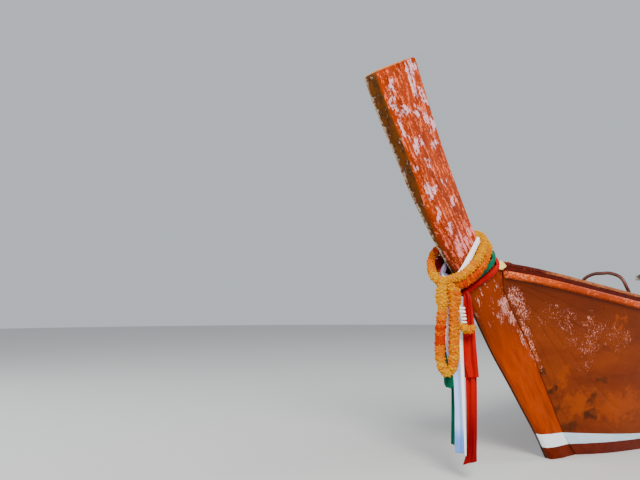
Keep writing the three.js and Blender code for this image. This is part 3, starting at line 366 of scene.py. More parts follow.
def with_waterline(finish, color, painted_shade):
    """The white boot stripe, deeper towards the stem and more or less in painted pale blue shade, over the
    antifouling.
    """
    z = finish.along("Z")
    reach = finish.ramp(finish.along("X"), STRIPE_FLARE_X, STEM_X + 0.35)
    wander = (finish.noise(0.4) - 0.5) * 0.008
    top = STRIPE_LOW_Z + STRIPE_THICK + reach * STRIPE_FLARE_Z + wander
    dirt = finish.ramp(finish.noise(0.05, (0.3, 0.3, 1)), 0.45, 0.75)
    # Dirt and painted shade both turn the stripe pale blue
    stripe = finish.mix(dirt * 0.3 + painted_shade, STRIPE_WHITE, STRIPE_DIRT_AND_SHADE)
    slime = finish.ramp(finish.noise(0.08), 0.35, 0.7)
    bottom = finish.mix(slime * 0.6, ANTIFOULING, paint(70, 16, 4))
    return finish.mix(z > STRIPE_LOW_Z + wander, bottom, finish.mix(z > top, stripe, color))


# Columns: x and z of a worn patch's middle, its reach along and up, its strength
HULL_PATCHES = (
    (4.98, 1.22, 0.12, 0.10, 0.60), (4.86, 1.14, 0.12, 0.11, 0.70), (4.79, 1.02, 0.07, 0.13, 0.60),
    (5.06, 1.13, 0.13, 0.06, 0.55), (4.66, 1.11, 0.10, 0.12, 0.80), (4.60, 0.94, 0.12, 0.18, 0.70),
    (4.55, 1.06, 0.12, 0.10, 0.65), (4.40, 1.00, 0.12, 0.15, 0.62), (4.27, 0.98, 0.10, 0.12, 0.60),
    (4.62, 0.80, 0.08, 0.16, 0.50), (3.70, 0.78, 0.25, 0.18, 0.50), (2.20, 0.55, 0.50, 0.20, 0.50),
    (0.30, 0.35, 0.70, 0.18, 0.45), (-2.40, 0.32, 0.60, 0.16, 0.50), (-4.30, 0.45, 0.40, 0.18, 0.60),
)
# The planks' front ends are the most worn. Columns: place up the rabbet from its top, place ahead of
# it, their reach, strength
RABBET_TOP = Vector((5.338, 0, 1.232))
RABBET_DOWN = Vector((0.572, 0, 0.820))
RABBET_PATCHES = (
    (0.06, -0.070, 0.14, 0.085, 1.10), (-0.07, -0.075, 0.14, 0.080, 1.00), (-0.22, -0.035, 0.17, 0.055, 1.10),
    (-0.42, -0.012, 0.20, 0.036, 1.10), (-0.58, -0.006, 0.12, 0.030, 0.90),
)
# Columns: x and z of a dark stain's middle, its reach along and up, its strength
STAINS = (
    (4.96, 0.70, 0.05, 0.05, 0.9), (4.86, 0.56, 0.05, 0.06, 0.9), (4.79, 0.41, 0.05, 0.05, 0.8),
    (4.45, 0.63, 0.07, 0.05, 0.8), (4.52, 0.49, 0.06, 0.06, 0.8), (4.50, 0.36, 0.10, 0.06, 0.9),
    (4.66, 0.25, 0.12, 0.06, 0.7), (3.60, 0.45, 0.12, 0.08, 0.7), (1.40, 0.30, 0.20, 0.07, 0.6),
)
# Columns: x and z of a patch of painted orange light reflected up from the water, its reach along and up, its
# strength
WATER_LIGHT_PATCHES = (
    (4.33, 1.09, 0.07, 0.08, 0.6), (4.62, 0.45, 0.14, 0.14, 0.6), (4.22, 0.40, 0.30, 0.16, 0.6),
    (4.80, 0.64, 0.06, 0.10, 0.5), (3.20, 0.50, 0.50, 0.20, 0.5), (0.80, 0.45, 0.90, 0.20, 0.5),
)


def worn_patches(finish, rows, first, second, wander):
    """The strongest of some patches along two directions, their outlines wandering by some metres."""
    wear = None
    first = first + (finish.noise(0.07, (1, 1, 1), (2, 5, 9), detail=3) - 0.5) * wander * 2
    second = second + (finish.noise(0.07, (1, 1, 1), (8, 1, 3), detail=3) - 0.5) * wander * 2
    for first_middle, second_middle, first_reach, second_reach, strength in rows:
        off_first, off_second = (first - first_middle) / first_reach, (second - second_middle) / second_reach
        patch = finish.ramp(off_first * off_first + off_second * off_second, 1.0, 0.0) * strength
        wear = patch if wear is None else wear.larger(patch)
    return wear


hull_paint = Finish("hull_varnish", Specular_IOR_Level=0.14)
brown = hull_paint.over(paint(104, 34, 0), paint(128, 50, 0),
                        hull_paint.noise(0.55, (0.5, 1, 1.6)), 0.35, 0.68)
brown = hull_paint.over(brown, paint(78, 22, 0),
                        hull_paint.noise(0.16, (0.35, 1, 1.3), (3, 1, 2)), 0.5, 0.78, 0.55)
grain = hull_paint.noise(0.012, (0.06, 1, 1), (1, 7, 3), detail=5)
brown = hull_paint.over(brown, paint(78, 26, 0), grain, 0.45, 0.75, 0.35)
x, z = hull_paint.along("X"), hull_paint.along("Z")
# Painted shade: the side is painted darker towards the rub rail above it
shade_below_rail = hull_paint.ramp(z - (x - 4.5) * 0.20, 0.85, 1.25)
brown = hull_paint.mix(shade_below_rail * 0.55, brown, paint(82, 26, 0))
# Painted light: orange patches where light reflected from the water falls on the varnish
brown = hull_paint.mix(worn_patches(hull_paint, WATER_LIGHT_PATCHES, x, z, 0.20), brown, paint(156, 62, 0))
cloudy = hull_paint.noise(0.06, (0.5, 1, 1), (9, 4, 1), detail=3)
stained = worn_patches(hull_paint, STAINS, x, z, 0.08) * hull_paint.ramp(cloudy, 0.25, 0.60)
brown = hull_paint.mix(stained * 0.9, brown, paint(34, 16, 0))
fore, rise = x - RABBET_TOP.x, z - RABBET_TOP.z
at_rabbet = worn_patches(hull_paint, RABBET_PATCHES, fore * RABBET_DOWN.x + rise * RABBET_DOWN.z,
                         fore * RABBET_DOWN.z - rise * RABBET_DOWN.x, 0.06)
worn = worn_patches(hull_paint, HULL_PATCHES, x, z, 0.16).larger(at_rabbet)
flecks = hull_paint.noise(0.013, (1.3, 1, 0.8), detail=5, rough=0.7)
bare = hull_paint.ramp(worn * 0.20 + flecks, 0.690, 0.725)
pale = hull_paint.over(PRIMER_PINK, paint(214, 110, 62), hull_paint.noise(0.03), 0.4, 0.6)
brown = hull_paint.mix(bare * 0.9, brown, pale)
# Along the hull the white stripe takes painted pale blue shade
hull_color = with_waterline(hull_paint, brown, 0.6)
hull_varnish = hull_paint.done(
    hull_color, 0.38 + bare * 0.3 + hull_paint.noise(0.2) * 0.12,
    grain * 0.5 + bare * -0.5 + hull_paint.noise(0.25, (0.4, 1, 1)) * 2.0, 0.0016)

HULL_ROWS = 110
# Columns: part of the side, its lower and upper edge as shares of the way to the sheer, slot, its lengths
STRAKES = (
    ("bottom_planking", 0.0, 1 / 3, "antifouling", ("_aft", "_mid", "_fore", "_bow")),
    ("bilge_planking", 1 / 3, 2 / 3, "side_paint", ("",)),
    ("side_planking", 2 / 3, 1.0, "side_paint", ("",)),
)
STRAKE_PLANKS = 3
HANDS = ("port", "starboard")
SEAM_HALF = 0.006               # of the way from keel to sheer
SEAM_DEPTH = 0.0025


def strake_shares(start, end):
    """Rows across the planks: two within each plank and three at each seam, whose middle lies deeper."""
    shares = [(start, 0.0)]
    for k in range(STRAKE_PLANKS):
        low = start + (end - start) * k / STRAKE_PLANKS
        high = start + (end - start) * (k + 1) / STRAKE_PLANKS
        if k:
            shares += [(low - SEAM_HALF, 0.0), (low, SEAM_DEPTH), (low + SEAM_HALF, 0.0)]
        shares += [(low + (high - low) / 3, 0.0), (low + (high - low) * 2 / 3, 0.0)]
    return shares + [(end, 0.0)]


def hull_xs(start, end, count):
    return [start + (end - start) * i / (count - 1) for i in range(count)]


for name, start, end, slot, lengths in STRAKES:
    for hand in HANDS:
        rows = []
        for x in hull_xs(TRANSOM_X, PROW_X, HULL_ROWS):
            outer = [side_point(x, share, depth) for share, depth in strake_shares(start, end)]
            inner = [side_point(x, start + (end - start) * k / 6, PLANK_THICK) for k in range(7)]
            rows.append(outer + inner[::-1])
        planks = skin(f"{name}_strakes_{hand}", rows, sharp=28, mirror=hand == "starboard")
        fitted(planks, hull_varnish, nodes=[f"{name}{length}_{hand}" for length in lengths])


# Stem and prow: one hardwood timber 120 mm thick that sweeps up from the keel. It is varnished
# orange, and the prow above the hull is worn to pink primer on its sides and grey on its nose.
STEM_ROWS = (
    (-0.9995, -0.360, 0.045, -0.9995, None), (-0.620, -0.339, 0.040, -0.650, None),
    (-0.280, -0.250, 0.036, -0.350, None), (-0.088, -0.095, 0.033, -0.150, None),
    (0.112, 0.200, 0.033, 0.0, None), (0.277, 0.415, 0.033, 0.100, None),
    (0.450, 0.640, 0.033, 0.217, None), (0.640, 0.880, 0.033, 0.350, None),
    (0.830, 1.160, 0.035, 0.405, 1.400), (0.965, 1.345, 0.040, 0.425, 1.592),
    (1.050, 1.485, 0.045, 0.690, 1.592), (1.115, 1.570, 0.050, 0.735, 1.640),
    (1.260, 1.755, 0.055, 0.905, 1.830), (1.468, 2.060, 0.060, 1.075, 2.130),
    (1.612, 2.310, 0.060, 1.235, 2.440), (1.796, 2.620, 0.060, 1.380, 2.770),
    (1.892, 2.820, 0.060, 1.495, 3.042),
)
STEM_SIDE = 0.0595
STEM_NOSE_SHARE = 0.28          # of the width, where the sides start to narrow to the nose
KEEL_TOP = 0.035
APRON_RISE = 0.120


def keel_top(x):
    t = min(max((x - 4.0) / 0.8, 0), 1)
    return station(x)[1] + KEEL_TOP + APRON_RISE * t * t * (3 - 2 * t)


def stem_row(row):
    front_x, front_z, nose, back_x, back_z = row
    if back_z is None:
        back_z = keel_top(back_x + STEM_X)
    return (front_x, front_z, nose, back_x, back_z)


def between(rows, per_row):
    """A table's rows with others between them on smooth curves."""
    out = []
    for i in range(len(rows) - 1):
        before, after = rows[max(i - 1, 0)], rows[min(i + 2, len(rows) - 1)]
        for k in range(per_row):
            t = k / per_row
            out.append([0.5 * ((2 * b) + (c - a) * t + (2 * a - 5 * b + 4 * c - d) * t * t
                               + (3 * b - a - 3 * c + d) * t ** 3)
                        for a, b, c, d in zip(before, rows[i], rows[i + 1], after)])
    return out + [list(rows[-1])]


EDGE_ROUND = 0.007


def stem_ring(row):
    """Across the timber: port side from back to nose, round the nose, and back on starboard."""
    front_x, front_z, nose, back_x, back_z = row
    front, back = Vector((front_x + STEM_X, front_z)), Vector((back_x + STEM_X, back_z))
    inward = (back - front).normalized()
    width = (back - front).length
    side, nose = STEM_SIDE, min(nose, STEM_SIDE)
    round_it = min(EDGE_ROUND, width * 0.1)
    turn = STEM_NOSE_SHARE * width
    profile = [(width, side - round_it), (width - round_it, side), (turn + round_it * 2, side),
               (turn, side - 0.0005), (round_it * 1.4, nose + (side - nose) * 0.1), (0.0, nose - round_it)]
    ring = [(front + inward * reach, y) for reach, y in profile]
    ring += [(front + inward * reach, -y) for reach, y in profile[::-1]]
    return [(at.x, y, at.y) for at, y in ring]


# The timber's end grain is domed. Columns: share of the end's size, its lift along the timber
END_ROWS = ((0.985, 0.005), (0.950, 0.011), (0.860, 0.017), (0.600, 0.022))
PROW_ALONG = Vector((0.495, 0, 0.869))
stem_rows = between([stem_row(row) for row in STEM_ROWS], 5)
stem_rings = [[Vector(point) for point in stem_ring(row)] for row in stem_rows]
end_middle = sum(stem_rings[-1], Vector()) / len(stem_rings[-1])
end_rings = [[end_middle + (point - end_middle) * share + PROW_ALONG * lift for point in stem_rings[-1]]
             for share, lift in END_ROWS]
middle_ring = (stem_rings + end_rings)[(len(stem_rings) + len(END_ROWS)) // 2]
ring_reach = [0.0]
for first, second in zip(middle_ring, middle_ring[1:]):
    ring_reach.append(ring_reach[-1] + (second - first).length)
NOSE_FROM, NOSE_TO = ring_reach[4], ring_reach[7]   # the nose's corners on the Surface map

PROW_FOOT = Vector((STEM_X + 1.115, 0, 1.570))
# Columns: place up the prow and back from its nose, their reach, strength of the wear
PROW_PATCHES = (
    (1.42, 0.302, 0.075, 0.065, 1.00), (1.31, 0.266, 0.100, 0.060, 1.00), (1.16, 0.069, 0.055, 0.047, 1.15),
    (1.12, 0.207, 0.055, 0.043, 1.15), (1.20, 0.319, 0.090, 0.047, 0.75), (1.01, 0.286, 0.090, 0.060, 0.95),
    (1.22, 0.000, 0.085, 0.040, 0.80), (1.05, -0.010, 0.110, 0.040, 0.90), (0.90, 0.066, 0.060, 0.074, 0.80),
    (0.77, 0.107, 0.040, 0.032, 0.95), (0.79, -0.040, 0.055, 0.036, 0.60), (0.85, 0.239, 0.060, 0.055, 0.65),
    (0.56, 0.030, 0.090, 0.062, 1.05), (0.56, 0.211, 0.050, 0.050, 0.60), (0.25, 0.066, 0.060, 0.036, 0.90),
    (0.38, 0.010, 0.070, 0.044, 0.55), (0.09, 0.135, 0.090, 0.130, 1.10), (0.12, 0.260, 0.060, 0.080, 1.05),
    (1.33, 0.060, 0.070, 0.060, 0.55), (0.38, 0.219, 0.080, 0.060, 0.50),
)
# Columns: place up the rabbet from its top, place ahead of it, their reach, strength
STEM_PATCHES = (
    (0.06, 0.055, 0.12, 0.090, 1.00), (-0.06, 0.035, 0.12, 0.060, 0.95), (0.02, 0.150, 0.08, 0.050, 0.80),
    (-0.26, 0.020, 0.18, 0.032, 0.85), (-0.46, 0.010, 0.14, 0.020, 0.70),
)
stem_paint = Finish("stem_varnish", Specular_IOR_Level=0.05)
around_it, length = stem_paint.along("X", True), stem_paint.along("Y", True)
height = stem_paint.along("Z")
off_x, off_z = stem_paint.along("X") - PROW_FOOT.x, height - PROW_FOOT.z
up_prow = off_x * PROW_ALONG.x + off_z * PROW_ALONG.z
back_of_nose = off_z * PROW_ALONG.x - off_x * PROW_ALONG.z
long_grain = stem_paint.noise(0.010, (1, 0.07, 1), detail=5, on_surface=True)
broad = stem_paint.noise(0.09, (1, 0.3, 1), (4, 2, 0), on_surface=True)
fine = stem_paint.noise(0.013, (1, 0.5, 1), (7, 3, 0), detail=5, rough=0.75, on_surface=True)
streaks = stem_paint.noise(0.034, (1, 0.30, 1), (9, 5, 0), detail=3, on_surface=True)
above = stem_paint.ramp(height, 1.42, 1.62)
low_brown = stem_paint.over(paint(168, 58, 0), paint(136, 44, 0), broad, 0.35, 0.7)
high_red = stem_paint.over(paint(158, 50, 0), paint(118, 32, 0), broad, 0.35, 0.7)
orange = stem_paint.mix(above, low_brown, high_red)
at_tie = stem_paint.ramp(height, 0.80, 1.15) * stem_paint.ramp(height, 1.72, 1.60)
orange = stem_paint.mix(at_tie * 0.75, orange, paint(112, 38, 0))
orange = stem_paint.over(orange, paint(96, 28, 0), long_grain, 0.5, 0.8, 0.35)
worn_places = worn_patches(stem_paint, PROW_PATCHES, up_prow, back_of_nose, 0.11)
prow_wear = stem_paint.ramp(worn_places * 0.10 + streaks * 0.75 + fine * 0.85, 0.825, 0.875) * above
near_hull = stem_paint.ramp(height, 0.98, 1.28) * (1 - above)
fore, rise = stem_paint.along("X") - RABBET_TOP.x, height - RABBET_TOP.z
at_rabbet = worn_patches(stem_paint, STEM_PATCHES, fore * RABBET_DOWN.x + rise * RABBET_DOWN.z,
                         fore * RABBET_DOWN.z - rise * RABBET_DOWN.x, 0.05)
low_wear = stem_paint.ramp(streaks * 0.5 + fine * 0.6, 0.635, 0.665) * near_hull
low_wear = low_wear.larger(stem_paint.ramp(at_rabbet * 0.20 + fine, 0.655, 0.700))
few = stem_paint.ramp(fine, 0.66, 0.70) * 0.6
white_places = stem_paint.ramp(worn_places + streaks * 1.4, 0.85, 1.35)
primer = stem_paint.mix(white_places, paint(236, 104, 58), paint(234, 176, 184))
primer = stem_paint.over(primer, paint(240, 112, 96), up_prow, 0.30, 0.18, 0.7)
primer = stem_paint.over(primer, paint(230, 160, 148), height, 1.50, 1.42)
worn_stem = prow_wear.larger(low_wear).larger(few)
stem_color = stem_paint.mix(worn_stem * 0.92, orange, primer)
nose_share = stem_paint.ramp(height, 1.55, 2.45) * 0.58 + 0.42
nose_edge = NOSE_TO - nose_share * (NOSE_TO - NOSE_FROM)
nose = (stem_paint.ramp(around_it - nose_edge, -0.002, 0.003)
        * stem_paint.ramp(around_it, NOSE_TO + 0.003, NOSE_TO))
nose_brown = stem_paint.over(paint(96, 52, 10), paint(58, 38, 12), streaks, 0.42, 0.60)
pale_edge = stem_paint.ramp(around_it - NOSE_TO, -0.036, -0.016) * 0.13
nose_pale = stem_paint.ramp(fine * 0.6 + streaks * 0.4 + pale_edge, 0.56, 0.66)
nose_brown = stem_paint.mix(nose_pale * 0.85, nose_brown, paint(186, 166, 140))
# Painted shade: below the prow the narrow nose face is painted near-black, as the face turned from the light
low_nose_shade = stem_paint.over(paint(34, 16, 6), paint(66, 32, 8), long_grain, 0.4, 0.7)
stem_color = with_waterline(stem_paint, stem_color, 0.0)
stem_color = stem_paint.mix(nose * 0.94, stem_color, stem_paint.mix(above, low_nose_shade, nose_brown))
end_grain = stem_paint.ramp(up_prow, 1.477, 1.485)
stem_color = stem_paint.mix(end_grain * 0.9, stem_color, paint(206, 132, 76))
stem_varnish = stem_paint.done(stem_color, 0.42 + worn_stem * 0.3,
                               long_grain * 0.6 - worn_stem * 0.5 + broad * 1.5, 0.0018)

stem = skin("stem_and_prow_timber", stem_rings + end_rings, sharp=40)
fitted(stem, stem_varnish, nodes=["stem_and_prow"])


# Softened timbers: keel, ribs, thwarts, stringers, transom and beam are sawn timbers whose edges
# were planed off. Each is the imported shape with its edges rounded, in its own wood.
def softened(node, name, width, segments=2, angle=30, flat=0.5):
    """A copy of a CAD node with its triangles merged to faces and its edges rounded."""
    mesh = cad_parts[node].data.copy()
    mesh.name = name
    mesh.materials.clear()
    work = bmesh.new()
    work.from_mesh(mesh)
    bmesh.ops.remove_doubles(work, verts=work.verts, dist=0.00002)
    bmesh.ops.dissolve_limit(work, angle_limit=math.radians(flat), verts=work.verts, edges=work.edges)
    work.to_mesh(mesh)
    work.free()
    for layer in list(mesh.attributes):
        if layer.name == "custom_normal" or layer.name == "sharp_face":
            mesh.attributes.remove(layer)
    made = piece(name, mesh, 40)
    bevel = made.modifiers.new("edges", "BEVEL")
    bevel.width = width
    bevel.segments = segments
    bevel.limit_method = "ANGLE"
    bevel.angle_limit = math.radians(angle)
    bevel.harden_normals = True
    return baked(made)


def timber(name, light, dark, along="x", shine=0.6, dirt=0.5):
    """Bare or oiled wood, its grain along an axis, dirty in patches."""
    stretch = {"x": (0.05, 1, 1), "y": (1, 0.05, 1), "z": (1, 1, 0.05)}[along]
    wood = Finish(name, Specular_IOR_Level=0.35)
    fibre = wood.noise(0.009, stretch, detail=6, rough=0.65)
    figure = wood.noise(0.07, stretch, (3, 5, 8), detail=3)
    color = wood.over(light, dark, fibre, 0.32, 0.72)
    color = wood.over(color, dark, figure, 0.45, 0.75, 0.5)
    grime = wood.ramp(wood.noise(0.22, (1, 1, 1), (6, 1, 4)), 0.45, 0.8)
    color = wood.mix(grime * dirt, color, tuple(c * 0.42 for c in dark[:3]) + (1,))
    return wood.done(color, shine + (1 - shine) * 0.5 * wood.ramp(fibre, 0.3, 0.7), fibre, 0.0008)


rib_wood = timber("rib_wood", paint(168, 112, 66), paint(122, 72, 38), "z")
plank_wood = timber("plank_wood", paint(186, 146, 102), paint(138, 98, 62), "x")
thwart_wood = timber("thwart_wood", paint(190, 128, 72), paint(142, 84, 40), "y", 0.45, 0.3)
dark_timber = timber("dark_timber", paint(104, 48, 26), paint(66, 26, 14), "y", 0.5)
keel_paint = Finish("keel_antifouling", Specular_IOR_Level=0.3)
keel_color = keel_paint.over(ANTIFOULING, paint(88, 24, 12), keel_paint.noise(0.1), 0.35, 0.7)
keel_red = keel_paint.done(keel_color, 0.7, keel_paint.noise(0.02), 0.001)

# Columns: CAD node, piece, rounding, wood, slot
TIMBERS = (
    ("keel", "keel_timber", 0.010, keel_red, "antifouling"),
    ("floor_timbers", "floor_timbers_and_keelson", 0.005, plank_wood, "bare_wood"),
    *[(f"side_ribs_{length}_{hand}", f"{word}_ribs_and_stringer_{hand}", 0.005, rib_wood, "bare_wood")
      for length, word in (("aft", "aft"), ("mid", "middle"), ("fore", "fore")) for hand in HANDS],
    ("transom", "transom_board", 0.006, hull_varnish, "side_paint"),
    *[(f"thwart_{k}", f"seat_{k}", 0.008, thwart_wood, "bare_wood") for k in range(1, 5)],
    ("engine_beam", "engine_beam_timber", 0.010, dark_timber, "dark_wood"),
)
for node, name, rounding, wood, slot in TIMBERS:
    fitted(softened(node, name, rounding), wood, nodes=[node])


# Gunwale: a dark varnished strake on top of the planking, its bare top edge worn by ropes and hands,
# with the orange rub rail nailed along its foot outside.
GUNWALE_HIGH = 0.125
GUNWALE_THICK = 0.040
RAIL_HIGH = 0.055
RAIL_DEEP = 0.045
gunwale_wood = Finish("gunwale_varnish", Specular_IOR_Level=0.12)
strand = gunwale_wood.noise(0.010, (0.05, 1, 1), detail=5)
red_brown = gunwale_wood.over(paint(88, 16, 2), paint(54, 10, 2), strand, 0.35, 0.7)
red_brown = gunwale_wood.over(red_brown, paint(112, 32, 6),
                              gunwale_wood.noise(0.18, (0.3, 1, 1)), 0.5, 0.75, 0.6)
bare_top = gunwale_wood.over(paint(166, 98, 58), paint(112, 56, 26), strand, 0.35, 0.7)
top_edge = gunwale_wood.along("X", True) + (gunwale_wood.noise(0.03, (0.2, 1, 1)) - 0.5) * 0.02
top_wear = gunwale_wood.ramp(top_edge, 0.095, 0.103)
# At the bow the top keeps its varnish but for a few flecks
kept = gunwale_wood.ramp(gunwale_wood.along("X"), 4.95, 5.15)
top_flecks = gunwale_wood.ramp(gunwale_wood.noise(0.02, (0.5, 1, 1), (2, 2, 2)), 0.58, 0.64)
top_wear = top_wear * (1 - kept * (1 - top_flecks))
gunwale_color = gunwale_wood.mix(top_wear, red_brown, bare_top)
gunwale_finish = gunwale_wood.done(gunwale_color, 0.5 + top_wear * 0.2, strand, 0.0012)

rail_paint = Finish("rub_rail_paint", Specular_IOR_Level=0.12)
strand = rail_paint.noise(0.012, (0.05, 1, 1), detail=5)
rail_color = rail_paint.over(paint(184, 66, 0), paint(156, 48, 0),
                             rail_paint.noise(0.3, (0.3, 1, 1)), 0.35, 0.7)
rail_color = rail_paint.over(rail_color, paint(110, 34, 0), strand, 0.5, 0.8, 0.35)
fine = rail_paint.noise(0.016, (0.6, 1, 1), detail=4, rough=0.7)
worn_lengths = rail_paint.ramp(rail_paint.noise(0.3, (0.6, 1, 1), (4, 4, 4)), 0.42, 0.62) * 0.08
at_bow = rail_paint.ramp(rail_paint.along("X"), 5.05, 5.35) * 0.13
chips = rail_paint.ramp(fine + worn_lengths.larger(at_bow), 0.62, 0.68)
rail_color = rail_paint.mix(chips * 0.75, rail_color, paint(236, 132, 88))
rail_finish = rail_paint.done(rail_color, 0.4 + chips * 0.3, strand, 0.001)


def sheer_strip(name, section, hand, count=110):
    rows = []
    for x in hull_xs(TRANSOM_X, PROW_X, count):
        _, _, breadth, sheer, *_ = station(x)
        rows.append([(raked(x, z), y, z) for y, z in section(breadth, sheer)])
    return skin(name, rows, sharp=50, mirror=hand == "starboard")


def gunwale_section(y, z):
    inner = max(y - GUNWALE_THICK, TIMBER_HALF)
    low, high = z + 0.0005, z + GUNWALE_HIGH
    return [(y, low), (y, high - 0.026), (y + 0.004, high - 0.024), (y + 0.004, high - 0.004),
            (y, high), (inner + 0.003, high), (inner - 0.002, high - 0.004), (inner - 0.002, high - 0.026),
            (inner, high - 0.028), (inner, low)]


def rail_section(y, z):
    out, low, high = y + RAIL_DEEP, z + 0.001, z + RAIL_HIGH
    return [(y + 0.0009, low), (out - 0.010, low + 0.001), (out - 0.003, low + 0.005), (out, low + 0.013),
            (out, high - 0.013), (out - 0.003, high - 0.005), (out - 0.010, high - 0.001), (y + 0.0009, high)]


for hand in HANDS:
    fitted(sheer_strip(f"gunwale_strake_{hand}", gunwale_section, hand), gunwale_finish,
           nodes=[f"gunwale_{hand}"])
    fitted(sheer_strip(f"rub_rail_timber_{hand}", rail_section, hand), rail_finish,
           nodes=[f"rub_rail_{hand}"])


# Decks and floor: loose hardwood boards laid fore and aft on the ribs, each cut to the hull's side.
BOARD_THICK = 0.022
BOARD_GAP = 0.005
BOARD_WORN = 0.003              # the worn corner of a board's top edge
BOARD_LIFT = 0.0015             # how far a loose board stands proud or low
BOARD_LEAST = 0.015             # the narrowest sliver worth keeping at the side


def boards(name, start, end, surface_z, half_at, width, steps=24):
    """Boards across the boat, numbered from the centreline, each as one closed skin."""
    made = []
    widest = max(half_at(x) for x in hull_xs(start, end, steps))
    count = math.ceil(widest / width + 0.5)
    for k in range(-count, count + 1):
        low, high = (k - 0.5) * width + BOARD_GAP / 2, (k + 0.5) * width - BOARD_GAP / 2
        random.seed(100 + k)
        lift = random.uniform(-BOARD_LIFT, BOARD_LIFT)
        rows = []
        for x in hull_xs(start, end, steps):
            half = half_at(x)
            y0, y1 = max(low, -half), min(high, half)
            if y1 - y0 > BOARD_LEAST:
                z = surface_z(x) + lift
                under, worn = z - BOARD_THICK, z - BOARD_WORN
                rows.append([(x, y0, under), (x, y1, under), (x, y1, worn), (x, y1 - BOARD_WORN, z),
                             (x, y0 + BOARD_WORN, z), (x, y0, worn)])
        if len(rows) > 1:
            made.append(skin(f"{name}_{k}", rows, sharp=30))
    return joined(name, made)


# Columns: piece, CAD node, its ends' x, top and half-breadth at an x, board width
DECKS = (
    ("bow_deck_boards", "bow_deck", 3.252, 5.195, lambda x: station(x)[3] - 0.003,
     lambda x: station(x)[2] - PLANK_THICK - 0.002, 0.145),
    ("floor_planks", "floor_boards", -2.699, 2.999, lambda x: -0.1665,
     lambda x: min(0.415, side_at(x, -0.19, PLANK_THICK).y - 0.037), 0.139),
    ("stern_deck_boards", "stern_deck", -4.87, -3.352, lambda x: 0.5835,
     lambda x: side_at(x, 0.57, PLANK_THICK).y - 0.004, 0.145),
)
for name, node, start, end, surface_z, half_at, width in DECKS:
    fitted(boards(name, start, end, surface_z, half_at, width), plank_wood, nodes=[node])


# Metals: grey paint, oily castings, bare and rusty steel, brass, and the brown paint on thin tubes.
def metal(name, light, dark, metallic, rough, wear_color=None, wear=0.0, size=0.05):
    """Painted or bare metal: two tones in patches, with rust or bare spots over them."""
    made = Finish(name, Specular_IOR_Level=0.5)
    tone = made.over(light, dark, made.noise(size * 3), 0.35, 0.7)
    blotches = made.noise(size, (1, 1, 1), (3, 6, 2), detail=5, rough=0.65)
    spots = made.ramp(blotches, 0.72 - wear * 0.35, 0.8 - wear * 0.3)
    tone = made.mix(spots, tone, wear_color or dark)
    fine = made.noise(0.008, detail=3)
    roughness = rough + spots * (0.85 - rough) * 0.8 + (fine - 0.5) * 0.1
    return made.done(tone, roughness, fine * 0.4 - spots * 0.6, 0.0004,
                     metallic - spots * metallic * 0.85 if metallic else None)


RUST = paint(112, 58, 30)
grey_paint = metal("grey_paint", paint(104, 118, 124), paint(82, 94, 100), 0.0, 0.45, RUST, 0.45)
castings = metal("oily_castings", paint(74, 80, 82), paint(48, 50, 50), 0.35, 0.5, paint(34, 28, 22), 0.4)
head_paint = metal("head_paint", paint(60, 98, 112), paint(44, 76, 88), 0.0, 0.42, paint(52, 44, 36), 0.4)
bare_steel = metal("bare_steel", paint(142, 142, 138), paint(112, 110, 106), 0.85, 0.38, RUST, 0.42)
rusty_steel = metal("rusty_steel", paint(116, 66, 40), paint(82, 46, 30), 0.3, 0.75, paint(60, 36, 26), 0.6)
brass = metal("worn_brass", paint(190, 148, 78), paint(150, 112, 54), 0.95, 0.28, paint(96, 92, 60), 0.35)
black_paint = metal("black_paint", paint(34, 34, 34), paint(22, 22, 22), 0.0, 0.4, paint(70, 50, 38), 0.3)
rubber = metal("belt_rubber", paint(26, 26, 26), paint(16, 16, 16), 0.0, 0.7)
tube_paint = metal("tube_paint", paint(92, 36, 16), paint(64, 24, 10), 0.0, 0.45, paint(140, 92, 66), 0.22,
                   0.03)
galvanised = metal("galvanised_tube", paint(164, 166, 164), paint(134, 138, 138), 0.7, 0.45, RUST, 0.25)

# The engine turns about its trunnions, so its own frame has X along the shaft line.
PIVOT = Vector((-4.7, 0, 1.35))
TAIL_ANGLE = math.radians(6)
ENGINE_FRAME = Matrix.Translation(PIVOT) @ Matrix.Rotation(-TAIL_ANGLE, 4, "Y")


def on_engine(x, y, z, quarters=0, axis="Z"):
    """A place in the engine's frame, turned some quarters about an axis."""
    return ENGINE_FRAME @ Matrix.Translation((x, y, z)) @ Matrix.Rotation(quarters * math.pi / 2, 4, axis)


def engine_part(name, node, finish, parts):
    """Parts joined as a piece that tilts with the engine and stands for a CAD node, if there is one."""
    return fitted(joined(name, parts), finish, "engine", [node] if node else ())


def route(points, steps):
    """Points on a smooth curve through some others."""
    return [Vector(point) for point in between(points, steps)]


def circle(radius, count, first=0):
    """Points evenly round a circle, as pairs."""
    turns = [2 * math.pi * (k + first) / count for k in range(count)]
    return [(radius * math.cos(turn), radius * math.sin(turn)) for turn in turns]


def tube(name, points, radius, sides=16, radii=None, place=None):
    """A round bar along points, its ring carried along without twist."""
    points = [Vector(point) for point in points]
    steep = abs((points[1] - points[0]).normalized().z) >= 0.9
    up = Vector((1, 0.02, 0)) if steep else Vector((0.03, 0.02, 1))
    rows = []
    for i, point in enumerate(points):
        ahead = (points[min(i + 1, len(points) - 1)] - points[max(i - 1, 0)]).normalized()
        side = ahead.cross(up).normalized()
        up = side.cross(ahead).normalized()
        size = radii[i] if radii else radius
        rows.append([point + (side * across + up * along) * size for across, along in circle(1, sides)])
    return skin(name, rows, sharp=40, place=place)


def turned(name, profile, sides=40, place=None):
    """A lathe body about X from (x, radius) rows."""
    rows = [[(x, *at) for at in circle(radius, sides)] for x, radius in profile]
    return skin(name, rows, sharp=30, place=place)


